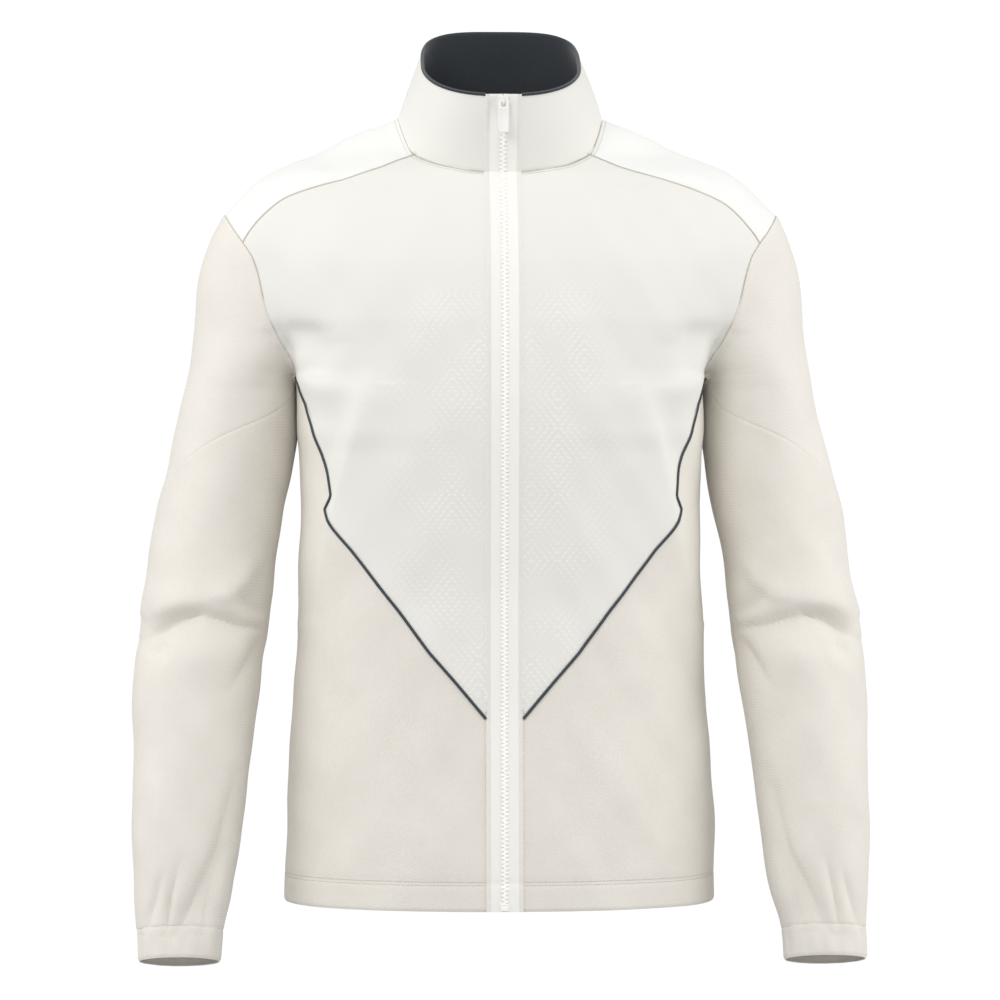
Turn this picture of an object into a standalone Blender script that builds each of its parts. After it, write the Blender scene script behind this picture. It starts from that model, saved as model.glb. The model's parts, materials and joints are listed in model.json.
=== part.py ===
"""Full-zip track top, filled out as worn, with nobody in it.

Metres, +Z up, front towards -Y. The origin is where the shoulders hold the garment up: on the
centre line, mid-depth, level with the side of the neck. Heights are measured from there.
The fronts, back, yokes, sleeves and collar are cloth walls cut from one worn form, which is two
kinds of level section, a torso's and an arm's, softly joined. Each seam is worked out once, and
the pieces on both sides of it use its points.
"""

import math

import bmesh
import bpy
import numpy as np

WALL = 0.0016
SEAM_GAP = 0.0003
FINE_STEP = 0.0004

HEM_HEIGHT = -0.682
UNDERARM_HEIGHT = -0.2135
ZIP_HALF_WIDTH = 0.0158
CHAIN_HALF_WIDTH = 0.0034
CHAIN_THICKNESS = 0.0030
CHAIN_OUT = 0.0009
TAPE_PROUD = 0.0003
BOTTOM_STOP_LENGTH = 0.0075
STOP_RAISE = 0.0001

COLLAR_ROWS = 3
YOKE_ROWS = 6
ARMHOLE_FRONT_STEPS = 8
SHOULDER_STEPS = 7
UNDERARM_STEPS = 8
NECK_FRONT_STEPS = 7
BACK_HALF_STEPS = 8
ZIP_LOWER_STEPS = 6
UPPER_SLEEVE_ROWS = 6
CUFF_ROWS = 2
LOWER_SLEEVE_ROWS = (0, 0.10, 0.20, 0.27, 0.31, 0.35, 0.40, 0.46, 0.55, 0.65, 0.75, 0.84, 0.92, 1)

# The armhole is traced round this point, seen from the side: 0 is forwards, 90 up, 180 the back.
ARMHOLE_MIDDLE = {"y": 0.006, "height": -0.150, "reach": 0.16}
PIPE_TURN = 292.0
SIDE_SEAM_TURN = 252.0

PIPING_FIRST = 1
PIPING_WIDTH = 0.0026
PIPING_TOP_WIDTH = 0.0016
PIPING_HEIGHT = 0.0012

COLLAR_BULGE = 0.0015
FACING_WALL = 0.0012
FACING_LIP = 0.0016

CUFF_HEIGHT = 0.027
CUFF_TILT = 0.21
CUFF_SEAM_HEIGHT = -0.7035

# Limits of the method: how fast each form closes above its table, the least share of a point's
# level distance that its distance counts, and how many halvings find where a line meets a form.
TORSO_CLOSING = 40
ARM_CLOSING = 200
LEVEL_SHARE = 0.25
HALVINGS = 40
SLEEVE_FROM = 0.2
FOLD_FACING = 0.03
BODY_MIDDLE = 0.008
BEYOND = 0.4


def table(columns, rows):
    """A short table as named columns, each sorted by the first one."""
    rows = sorted(rows)
    return {name: np.array(values) for name, values in zip(columns.split(), zip(*rows))}


# Level sections of the worn torso. half_width, front and back are its reach from the centre line.
TORSO = table(
    "height half_width front back squareness",
    (
        (0.0420, 0.030, 0.004, 0.054, 2.0),
        (0.0350, 0.062, 0.010, 0.066, 2.1),
        (0.0185, 0.0925, 0.021, 0.082, 2.2),
        (0.0072, 0.1235, 0.029, 0.089, 2.2),
        (-0.0036, 0.1490, 0.036, 0.095, 2.2),
        (-0.0144, 0.1760, 0.043, 0.101, 2.2),
        (-0.0252, 0.2010, 0.059, 0.105, 2.2),
        (-0.0360, 0.2150, 0.074, 0.108, 2.2),
        (-0.0600, 0.2270, 0.093, 0.112, 2.3),
        (-0.0900, 0.2290, 0.110, 0.116, 2.4),
        (-0.1200, 0.2220, 0.121, 0.119, 2.5),
        (-0.1530, 0.2130, 0.127, 0.121, 2.5),
        (-0.1800, 0.2030, 0.130, 0.121, 2.5),
        (-0.2000, 0.1920, 0.131, 0.120, 2.5),
        (-0.2124, 0.1838, 0.131, 0.119, 2.5),
        (-0.2250, 0.1826, 0.131, 0.118, 2.5),
        (-0.2620, 0.1820, 0.129, 0.115, 2.5),
        (-0.2850, 0.1803, 0.127, 0.112, 2.4),
        (-0.3500, 0.1800, 0.120, 0.104, 2.4),
        (-0.4200, 0.1812, 0.115, 0.098, 2.3),
        (-0.4900, 0.1853, 0.115, 0.098, 2.3),
        (-0.5600, 0.1895, 0.119, 0.103, 2.3),
        (-0.6300, 0.1926, 0.124, 0.110, 2.3),
        (-0.6820, 0.1932, 0.126, 0.113, 2.3),
    ),
)

# Level sections of the worn sleeve: outer and inner are distances from the centre line.
ARM = table(
    "height outer inner middle half_depth squareness",
    (
        (-0.0360, 0.208, 0.165, 0.008, 0.022, 2.0),
        (-0.0495, 0.231, 0.152, 0.008, 0.038, 2.0),
        (-0.0630, 0.2435, 0.146, 0.008, 0.048, 2.0),
        (-0.0765, 0.2527, 0.142, 0.009, 0.055, 2.0),
        (-0.0900, 0.2592, 0.140, 0.010, 0.060, 2.1),
        (-0.1170, 0.2675, 0.140, 0.012, 0.066, 2.1),
        (-0.1440, 0.2712, 0.144, 0.014, 0.070, 2.1),
        (-0.1710, 0.2745, 0.153, 0.017, 0.071, 2.1),
        (-0.1980, 0.2781, 0.172, 0.019, 0.071, 2.1),
        (-0.2124, 0.2805, 0.1822, 0.020, 0.071, 2.1),
        (-0.2250, 0.2826, 0.1838, 0.020, 0.070, 2.1),
        (-0.2620, 0.2906, 0.1842, 0.020, 0.069, 2.1),
        (-0.2925, 0.2976, 0.1877, 0.018, 0.068, 2.1),
        (-0.3330, 0.3087, 0.1953, 0.013, 0.066, 2.1),
        (-0.3870, 0.3150, 0.2043, 0.003, 0.063, 2.1),
        (-0.4140, 0.3200, 0.2061, -0.003, 0.062, 2.1),
        (-0.4410, 0.3227, 0.2079, -0.008, 0.061, 2.1),
        (-0.4680, 0.3255, 0.2132, -0.014, 0.059, 2.1),
        (-0.5220, 0.3270, 0.2205, -0.025, 0.055, 2.1),
        (-0.5760, 0.3265, 0.2268, -0.036, 0.051, 2.1),
        (-0.6300, 0.3255, 0.2335, -0.047, 0.046, 2.1),
        (-0.6700, 0.3245, 0.2400, -0.055, 0.042, 2.1),
        (-0.7030, 0.3222, 0.2478, -0.061, 0.037, 2.1),
        (-0.7400, 0.3200, 0.2510, -0.067, 0.034, 2.1),
    ),
)

# How widely the sleeve and the torso blend, by height: soft at the shoulder, a crease under the arm.
BLEND = table(
    "height width",
    ((0.05, 0.030), (-0.10, 0.030), (-0.16, 0.022), (-0.20, 0.008), (-0.215, 0.004), (-0.24, 0.0)),
)

# The armhole seam's distance from the centre line, by height.
ARMHOLE = table(
    "height across",
    (
        (-0.0500, 0.2545),
        (-0.0666, 0.2490),
        (-0.0820, 0.2400),
        (-0.0958, 0.2305),
        (-0.1100, 0.2215),
        (-0.1322, 0.2146),
        (-0.1528, 0.2103),
        (-0.1680, 0.2046),
        (-0.1930, 0.1925),
        (-0.2060, 0.1850),
        (-0.2124, 0.1831),
        (-0.2600, 0.1831),
    ),
)

# The yoke's front seam, from the neckline to the notch in the armhole.
YOKE_FRONT = table(
    "across height",
    (
        (0.0765, -0.0150),
        (0.1063, -0.0293),
        (0.1394, -0.0398),
        (0.1770, -0.0512),
        (0.1960, -0.0598),
        (0.2110, -0.0712),
        (0.2260, -0.0882),
        (0.2305, -0.0958),
    ),
)
# The same seam behind, where the yoke meets the back panel.
YOKE_BACK = table(
    "across height",
    ((0.0500, 0.0300), (0.0900, 0.0010), (0.1400, -0.0300), (0.1900, -0.0640), (0.2305, -0.0958)),
)

# The piped seam from under the arm, round the small hook, down the V to the zip.
PIPED_SEAM = (
    (0.1805, -0.2200),
    (0.1740, -0.2386),
    (0.1685, -0.2590),
    (0.1625, -0.2792),
    (0.1562, -0.3000),
    (0.1500, -0.3205),
    (0.1562, -0.3325),
    (0.1470, -0.3493),
    (0.1330, -0.3677),
    (0.1170, -0.3895),
    (0.0916, -0.4218),
    (0.0652, -0.4576),
    (0.0420, -0.4840),
    (0.0158, -0.5153),
)

# Height of the slanted sleeve seam round the arm: 0 is the side next to the torso, 180 the outside.
SLEEVE_SEAM = table(
    "degrees height",
    (
        (0, -0.2185),
        (23, -0.2270),
        (40, -0.2395),
        (56, -0.2475),
        (74, -0.2555),
        (85, -0.2600),
        (118, -0.2780),
        (158, -0.3080),
        (180, -0.3180),
    ),
)

# How far behind the middle the side seam runs, by height, below the armhole.
SIDE_SEAM = table("height y", ((-0.2600, 0.045), (-0.4000, 0.052), (HEM_HEIGHT, 0.056)))
SIDE_SEAM_EASING = 0.045

# The neckline seen from above, and the collar's top edge.
NECK_PLAN = {"half_width": 0.0918, "front": 0.0730, "back": 0.0660, "squareness": 2.2}
COLLAR_TOP = {
    "half_width": 0.0712,
    "middle": -0.0200,
    "half_depth": 0.0705,
    "height": 0.0653,
    "rise": 0.50,
    "front_squareness": 2.4,
    "back_squareness": 3.4,
}

# Soft folds: face is -1 in front and 1 behind, depth is inwards, ends are across and height.
FOLDS = table(
    "face across height to_across to_height width depth",
    (
        (-1, 0.1800, -0.1700, 0.2060, -0.1600, 0.014, 0.0060),
        (-1, 0.1820, -0.1700, 0.1830, -0.1900, 0.010, 0.0030),
        (-1, 0.1190, -0.2210, 0.1330, -0.2720, 0.018, -0.0025),
        (-1, 0.1330, -0.2720, 0.1700, -0.4300, 0.020, -0.0020),
        (-1, 0.3020, -0.4400, 0.2600, -0.4240, 0.009, 0.0065),
        (-1, 0.2560, -0.4300, 0.2080, -0.4370, 0.008, 0.0055),
        (-1, 0.2950, -0.4180, 0.2600, -0.4130, 0.014, -0.0030),
        (-1, 0.2180, -0.4520, 0.2380, -0.4860, 0.008, 0.0035),
        (-1, 0.2360, -0.5680, 0.2700, -0.7000, 0.006, 0.0028),
        (-1, 0.2590, -0.6620, 0.2830, -0.7000, 0.005, 0.0026),
        (-1, 0.2830, -0.6560, 0.2940, -0.7000, 0.005, 0.0024),
        (-1, 0.3000, -0.6620, 0.3120, -0.7000, 0.005, 0.0024),
        (1, 0.3050, -0.4100, 0.2500, -0.4350, 0.012, 0.0050),
        (1, 0.2950, -0.4500, 0.2400, -0.4600, 0.012, 0.0040),
        (1, 0.2500, -0.6000, 0.2680, -0.7000, 0.007, 0.0026),
        (1, 0.2950, -0.6200, 0.2950, -0.7000, 0.006, 0.0024),
        (1, 0.1750, -0.1650, 0.2000, -0.1300, 0.016, 0.0050),
        (1, 0.0700, -0.3600, 0.1500, -0.4100, 0.022, 0.0035),
        (1, 0.0500, -0.4500, 0.1400, -0.4600, 0.022, 0.0030),
    ),
)

# The slider's boxes from its centre: low and high run along the zip, back and front out from it.
SLIDER_HEIGHT = 0.0262
SLIDER_COLUMNS = ("half_width", "low", "high", "back", "front")
SLIDER_BOXES = (
    (0.0045, -0.0055, 0.0050, 0.0007, 0.0019),  # front plate
    (0.0045, -0.0055, 0.0050, -0.0030, -0.0018),  # back plate
    (0.0024, 0.0005, 0.0044, -0.0022, 0.0008),  # post between them
    (0.0009, -0.0034, -0.0025, 0.0012, 0.0047),  # lower leg of the arch
    (0.0009, 0.0025, 0.0034, 0.0012, 0.0047),  # upper leg
    (0.0009, -0.0034, 0.0034, 0.0039, 0.0047),  # top of the arch
)
TAB = {
    "axis_out": 0.0029,
    "bar": 0.0007,
    "half_width": 0.0048,
    "length": 0.0270,
    "thickness": 0.0012,
    "corner": 0.0015,
    "slot_half_width": 0.0018,
    "slot_end": 0.0045,
}

COLOURS = {
    "chest_knit": ((0.84, 0.84, 0.80), 0.85),
    "yoke_knit": ((0.92, 0.93, 0.90), 0.85),
    "ribbed_knit": ((0.82, 0.80, 0.75), 0.90),
    "twill_knit": ((0.82, 0.80, 0.75), 0.90),
    "dark_knit": ((0.025, 0.032, 0.042), 0.85),
    "zip_tape": ((0.78, 0.77, 0.74), 0.80),
    "zip_plastic": ((0.88, 0.88, 0.86), 0.40),
}


def clear_scene():
    for thing in list(bpy.data.objects):
        bpy.data.objects.remove(thing, do_unlink=True)


def curve_value(knots, values, at):
    """Smooth, never overshooting curve through a table's rows, held level past its ends."""
    gaps = np.diff(knots)
    slopes = np.diff(values) / gaps
    before, after = slopes[:-1], slopes[1:]
    together = before * after > 0
    total = np.where(together, before + after, 1.0)
    inner = np.where(together, 2 * before * after / total, 0.0)
    tangents = np.concatenate([slopes[:1], inner, slopes[-1:]])
    place = np.clip(np.searchsorted(knots, at) - 1, 0, len(gaps) - 1)
    part = np.clip((at - knots[place]) / gaps[place], 0, 1)
    start, end = values[place], values[place + 1]
    rise = gaps[place]
    return (
        start * (1 + 2 * part) * (1 - part) ** 2
        + end * part**2 * (3 - 2 * part)
        + rise * tangents[place] * part * (1 - part) ** 2
        + rise * tangents[place + 1] * part**2 * (part - 1)
    )


def look_up(source, name, at):
    knots = next(iter(source.values()))
    return curve_value(knots, source[name], np.asarray(at, float))


def section_size(wide, deep, squareness):
    """1 on the section's edge, less inside it."""
    return (np.abs(wide) ** squareness + np.abs(deep) ** squareness + 1e-12) ** (1 / squareness)


def torso_place(points):
    """Size against the torso's level section, and the level distance from the section's middle."""
    height = points[:, 2]
    read = {name: look_up(TORSO, name, height) for name in TORSO if name != "height"}
    depth = np.where(points[:, 1] < 0, read["front"], read["back"])
    over = np.maximum(height - TORSO["height"][-1], 0) * TORSO_CLOSING
    wide, deep = points[:, 0] / read["half_width"], points[:, 1] / depth
    size = section_size(wide, deep, read["squareness"]) + over
    return size, np.hypot(points[:, 0], points[:, 1])


def arm_place(points):
    """The same for the sleeve."""
    height = points[:, 2]
    read = {name: look_up(ARM, name, height) for name in ARM if name != "height"}
    across = np.abs(points[:, 0]) - (read["outer"] + read["inner"]) / 2
    away = points[:, 1] - read["middle"]
    over = np.maximum(height - ARM["height"][-1], 0) * ARM_CLOSING
    wide, deep = across / (read["outer"] - read["inner"]) * 2, away / read["half_depth"]
    size = section_size(wide, deep, read["squareness"]) + over
    return size, np.hypot(across, away)


def slope_of(function, points):
    parts = []
    for axis in np.eye(3) * FINE_STEP:
        parts.append((function(points + axis) - function(points - axis)) / (2 * FINE_STEP))
    return np.stack(parts, axis=1)


def distance_to(place, points):
    """Roughly how far each point is outside a form, never far under its level distance."""
    size, from_middle = place(points)
    steepness = np.linalg.norm(slope_of(lambda moved: place(moved)[0], points), axis=1)
    away = (size - 1) / np.maximum(steepness, 1e-6)
    level = from_middle * (1 - 1 / np.maximum(size, 0.05))
    return np.where(away > 0, np.maximum(away, LEVEL_SHARE * level), away)


def torso_distance(points):
    return distance_to(torso_place, points)


def arm_distance(points):
    return distance_to(arm_place, points)


def whole_distance(points):
    """Torso and arm together, with a soft valley between them."""
    torso, arm = torso_distance(points), arm_distance(points)
    width = np.maximum(look_up(BLEND, "width", points[:, 2]), 1e-6)
    near = np.maximum(width - np.abs(torso - arm), 0) / width
    return np.minimum(torso, arm) - near**2 * width / 4


def body_distance(points):
    """The form that the torso's pieces follow: below the underarm, the torso alone."""
    return np.where(points[:, 2] < UNDERARM_HEIGHT, torso_distance(points), whole_distance(points))


def sleeve_distance(points):
    return np.where(points[:, 2] < UNDERARM_HEIGHT, arm_distance(points), whole_distance(points))


def onto(distance, points, rounds=8):
    """Points moved straight onto the form."""
    points = points.copy()
    for _ in range(rounds):
        slope = slope_of(distance, points)
        steep = np.maximum((slope**2).sum(axis=1), 0.05)
        step = distance(points) / steep
        points -= np.clip(step, -0.04, 0.04)[:, None] * slope
    return points


def outward(distance, points):
    slope = slope_of(distance, points)
    return slope / np.maximum(np.linalg.norm(slope, axis=1), 1e-9)[:, None]


def where_line_meets(distance, outside, inside):
    """Where each line from outside to inside enters the form."""
    outside, inside = np.array(outside, float), np.array(inside, float)
    for _ in range(HALVINGS):
        middle = (outside + inside) / 2
        within = (distance(middle) < 0)[:, None]
        inside = np.where(within, middle, inside)
        outside = np.where(within, outside, middle)
    return (outside + inside) / 2


def spread(points, steps):
    """The same line with evenly spaced points."""
    gaps = np.linalg.norm(np.diff(points, axis=0), axis=1)
    along = np.concatenate([[0], np.cumsum(gaps)])
    wanted = np.linspace(0, along[-1], steps + 1)
    return np.stack([np.interp(wanted, along, points[:, axis]) for axis in range(3)], axis=1)


def on_face(face, across, heights):
    """Points of the front (-1) or back (1) of the form at the given places."""
    across, heights = np.asarray(across, float), np.asarray(heights, float)
    far = np.full(len(across), BEYOND * face)
    outside = np.stack([across, far, heights], axis=1)
    inside = np.stack([across, np.full(len(across), BODY_MIDDLE), heights], axis=1)
    return where_line_meets(body_distance, outside, inside)


def face_seam(face, seam, steps):
    """A seam given by across and height, on the front or back, from its inner end."""
    across = np.linspace(seam["across"][0], seam["across"][-1], 20 * steps)
    return spread(on_face(face, across, look_up(seam, "height", across)), steps)


def armhole_point(degrees):
    """Where the armhole seam is, seen from the side: 0 is forwards and 90 is up."""
    turn = np.radians(degrees)
    near = np.zeros(len(turn))
    far = np.full(len(turn), ARMHOLE_MIDDLE["reach"])
    for _ in range(HALVINGS):
        middle = (near + far) / 2
        height = ARMHOLE_MIDDLE["height"] + middle * np.sin(turn)
        y = ARMHOLE_MIDDLE["y"] - middle * np.cos(turn)
        points = np.stack([look_up(ARMHOLE, "across", height), y, height], axis=1)
        within = whole_distance(points) < 0
        near = np.where(within, middle, near)
        far = np.where(within, far, middle)
    return points


def armhole_turn(point):
    rise, forwards = point[2] - ARMHOLE_MIDDLE["height"], ARMHOLE_MIDDLE["y"] - point[1]
    return math.degrees(math.atan2(rise, forwards)) % 360


def armhole_stretch(start, end, steps):
    return spread(armhole_point(np.linspace(start, end, 20 * steps)), steps)


def neck_ring(turns):
    """The neckline at the given turns: 0 is the front centre, 180 the back."""
    turn = np.radians(turns)
    power = 2 / NECK_PLAN["squareness"]
    depth = np.where(np.cos(turn) > 0, NECK_PLAN["front"], NECK_PLAN["back"])
    across = NECK_PLAN["half_width"] * np.abs(np.sin(turn)) ** power
    y = -depth * np.sign(np.cos(turn)) * np.abs(np.cos(turn)) ** power
    outside = np.stack([across, y, np.full(len(turn), 0.2)], axis=1)
    inside = np.stack([across, y * 0.999, np.full(len(turn), -0.2)], axis=1)
    return where_line_meets(torso_distance, outside, inside)


def neck_stretch(start, end, steps):
    return spread(neck_ring(np.linspace(start, end, 20 * steps)), steps)


def turn_at(target, function, low, high):
    """The turn between low and high where function reaches the target."""
    turns = np.linspace(low, high, 4001)
    return turns[np.argmin(np.abs(function(turns) - target))]


def arm_section(heights, degrees):
    """Points of the sleeve at the given heights, 0 degrees next to the torso and 90 in front."""
    turn = np.radians(degrees)
    read = {name: look_up(ARM, name, heights) for name in ARM if name != "height"}
    power = 2 / read["squareness"]
    centre = (read["outer"] + read["inner"]) / 2
    half_width = (read["outer"] - read["inner"]) / 2
    across = centre - half_width * np.sign(np.cos(turn)) * np.abs(np.cos(turn)) ** power
    y = read["middle"] - read["half_depth"] * np.sign(np.sin(turn)) * np.abs(np.sin(turn)) ** power
    return np.stack([across, y, heights], axis=1)


def sleeve_seam_height(degrees):
    folded = 180 - np.abs(180 - np.mod(degrees, 360))
    return look_up(SLEEVE_SEAM, "height", folded)


def cuff_level(offset):
    """Heights of a loop square to the forearm, which leans forwards."""

    def height(degrees):
        middle = look_up(ARM, "middle", CUFF_SEAM_HEIGHT)
        deep = look_up(ARM, "half_depth", CUFF_SEAM_HEIGHT)
        y = middle - deep * np.sin(np.radians(degrees))
        return CUFF_SEAM_HEIGHT + offset - CUFF_TILT * (y - middle)

    return height


def fold_depth(points):
    """How far the soft folds push each point inwards."""
    across = np.abs(points[:, 0])
    towards = np.zeros(len(points))
    middle = np.where(across > SLEEVE_FROM, look_up(ARM, "middle", points[:, 2]), 0.0)
    for row in range(len(FOLDS["face"])):
        fold = {name: values[row] for name, values in FOLDS.items()}
        run = np.array([fold["to_across"] - fold["across"], fold["to_height"] - fold["height"]])
        place = np.stack([across - fold["across"], points[:, 2] - fold["height"]], axis=1)
        part = np.clip(place @ run / (run @ run), 0, 1)
        away = np.linalg.norm(place - part[:, None] * run, axis=1)
        taper = 0.35 + 0.65 * np.sin(np.pi * np.clip(part, 0.02, 0.98))
        facing = np.clip(0.5 + fold["face"] * (points[:, 1] - middle) / FOLD_FACING, 0, 1)
        towards += facing * fold["depth"] * taper * np.exp(-((away / fold["width"]) ** 2))
    return towards


def folded(distance, points):
    """The points and their outward directions, with the soft folds pressed in."""
    normals = outward(distance, points)
    return points - normals * fold_depth(points)[:, None], normals


def patch(bottom, top, left, right):
    """A four-sided net of points between its edges, each edge running up or to the right."""
    across = np.linspace(0, 1, len(bottom))[None, :, None]
    up = np.linspace(0, 1, len(left))[:, None, None]
    risen = (1 - up) * bottom[None] + up * top[None]
    crossed = (1 - across) * left[:, None] + across * right[:, None]
    corners = (
        (1 - up) * (1 - across) * bottom[0]
        + (1 - up) * across * bottom[-1]
        + up * (1 - across) * top[0]
        + up * across * top[-1]
    )
    return risen + crossed - corners


def laid_on(distance, net, evening=24):
    """The net laid on the form: edges stay, and the inside is evened out between rounds."""
    rows, columns, _ = net.shape
    inner = net[1:-1, 1:-1].shape
    for _ in range(evening):
        net[1:-1, 1:-1] = onto(distance, net[1:-1, 1:-1].reshape(-1, 3), 1).reshape(inner)
        around = net[:-2, 1:-1] + net[2:, 1:-1] + net[1:-1, :-2] + net[1:-1, 2:]
        net[1:-1, 1:-1] = 0.5 * net[1:-1, 1:-1] + 0.125 * around
    net[1:-1, 1:-1] = onto(distance, net[1:-1, 1:-1].reshape(-1, 3)).reshape(inner)
    return net


def step_back(net, edges):
    """The named edges of a net drawn back by half a seam gap."""
    back = SEAM_GAP / 2
    ends = {"bottom": (0, 1), "top": (-1, -2)}
    sides = {"left": (0, 1), "right": (-1, -2)}
    moved = net.copy()
    for edge in edges:
        if edge in ends:
            edge_at, next_at = ends[edge]
            way = net[next_at] - net[edge_at]
            moved[edge_at] += back * way / np.maximum(np.linalg.norm(way, axis=-1, keepdims=True), 1e-4)
        else:
            edge_at, next_at = sides[edge]
            way = net[:, next_at] - net[:, edge_at]
            length = np.maximum(np.linalg.norm(way, axis=-1, keepdims=True), 1e-4)
            moved[:, edge_at] += back * way / length
    return moved


def shorter_diagonals(net, closed_columns=False):
    """For each four-sided cell, whether its rising diagonal is the shorter one."""
    right = np.roll(net, -1, axis=1) if closed_columns else net[:, 1:]
    left = net if closed_columns else net[:, :-1]
    rising = np.linalg.norm(right[1:] - left[:-1], axis=-1)
    falling = np.linalg.norm(left[1:] - right[:-1], axis=-1)
    return rising <= falling + FINE_STEP


def add_split(mesh, corners):
    """A four-sided face as two triangles that meet on its shorter diagonal."""
    a, b, c, d = corners
    if (a.co - c.co).length <= (b.co - d.co).length:
        mesh.faces.new((a, b, c))
        mesh.faces.new((c, d, a))
    else:
        mesh.faces.new((b, c, d))
        mesh.faces.new((d, a, b))


def wall_mesh(outer, inner, closed_columns=False, rising=None):
    """A closed wall between two nets of points, outer one outwards. Columns may close into a tube."""
    rows, columns, _ = outer.shape
    rising = shorter_diagonals(outer, closed_columns) if rising is None else rising
    mesh = bmesh.new()
    nets = []
    for net in (outer, inner):
        nets.append([[mesh.verts.new(net[i, j]) for j in range(columns)] for i in range(rows)])
    last = columns if closed_columns else columns - 1
    for grid, way in zip(nets, (1, -1)):
        for i in range(rows - 1):
            for j in range(last):
                k = (j + 1) % columns
                corners = [grid[i][j], grid[i][k], grid[i + 1][k], grid[i + 1][j]]
                first = 0 if rising[i][j] else 1
                corners = corners[first:] + corners[:first]
                mesh.faces.new(corners[:3][::way])
                mesh.faces.new([corners[2], corners[3], corners[0]][::way])
    for i, way in ((rows - 1, 1), (0, -1)):
        for j in range(last):
            k = (j + 1) % columns
            add_split(mesh, (nets[1][i][j], nets[0][i][j], nets[0][i][k], nets[1][i][k])[::way])
    if not closed_columns:
        for j, way in ((0, 1), (columns - 1, -1)):
            for i in range(rows - 1):
                corners = (nets[1][i][j], nets[0][i][j], nets[0][i + 1][j], nets[1][i + 1][j])
                add_split(mesh, corners[::way])
    bmesh.ops.remove_doubles(mesh, verts=mesh.verts, dist=0.00003)
    bmesh.ops.recalc_face_normals(mesh, faces=mesh.faces)
    return mesh


def material(name):
    found = bpy.data.materials.get(name)
    if found:
        return found
    colour, roughness = COLOURS[name]
    made = bpy.data.materials.new(name)
    made.use_nodes = True
    shader = made.node_tree.nodes["Principled BSDF"]
    shader.inputs["Base Color"].default_value = (*colour, 1)
    shader.inputs["Roughness"].default_value = roughness
    return made


def add_object(name, mesh, finish, parent=None):
    data = bpy.data.meshes.new(name)
    mesh.to_mesh(data)
    mesh.free()
    data.shade_smooth()
    data.set_sharp_from_angle(angle=math.radians(50))
    thing = bpy.data.objects.new(name, data)
    bpy.context.scene.collection.objects.link(thing)
    data.materials.append(material(finish))
    if parent:
        thing.parent = parent
    return thing


def flipped(points):
    """The same points on the other side of the centre line."""
    return points * np.array([-1, 1, 1])


def add_pair(name, outer, inner, finish, closed_columns=False):
    """The wearer's left piece, at positive X, and its mirror image."""
    rising = shorter_diagonals(outer, closed_columns)
    add_object(name + "_left", wall_mesh(outer, inner, closed_columns, rising), finish)
    other = wall_mesh(flipped(outer), flipped(inner), closed_columns, rising)
    add_object(name + "_right", other, finish)


def walls(distance, net):
    """Outer and inner nets of a cloth wall, folds included."""
    flat = net.reshape(-1, 3)
    outer, normals = folded(distance, flat)
    inner = outer - normals * WALL
    return outer.reshape(net.shape), inner.reshape(net.shape)


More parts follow.
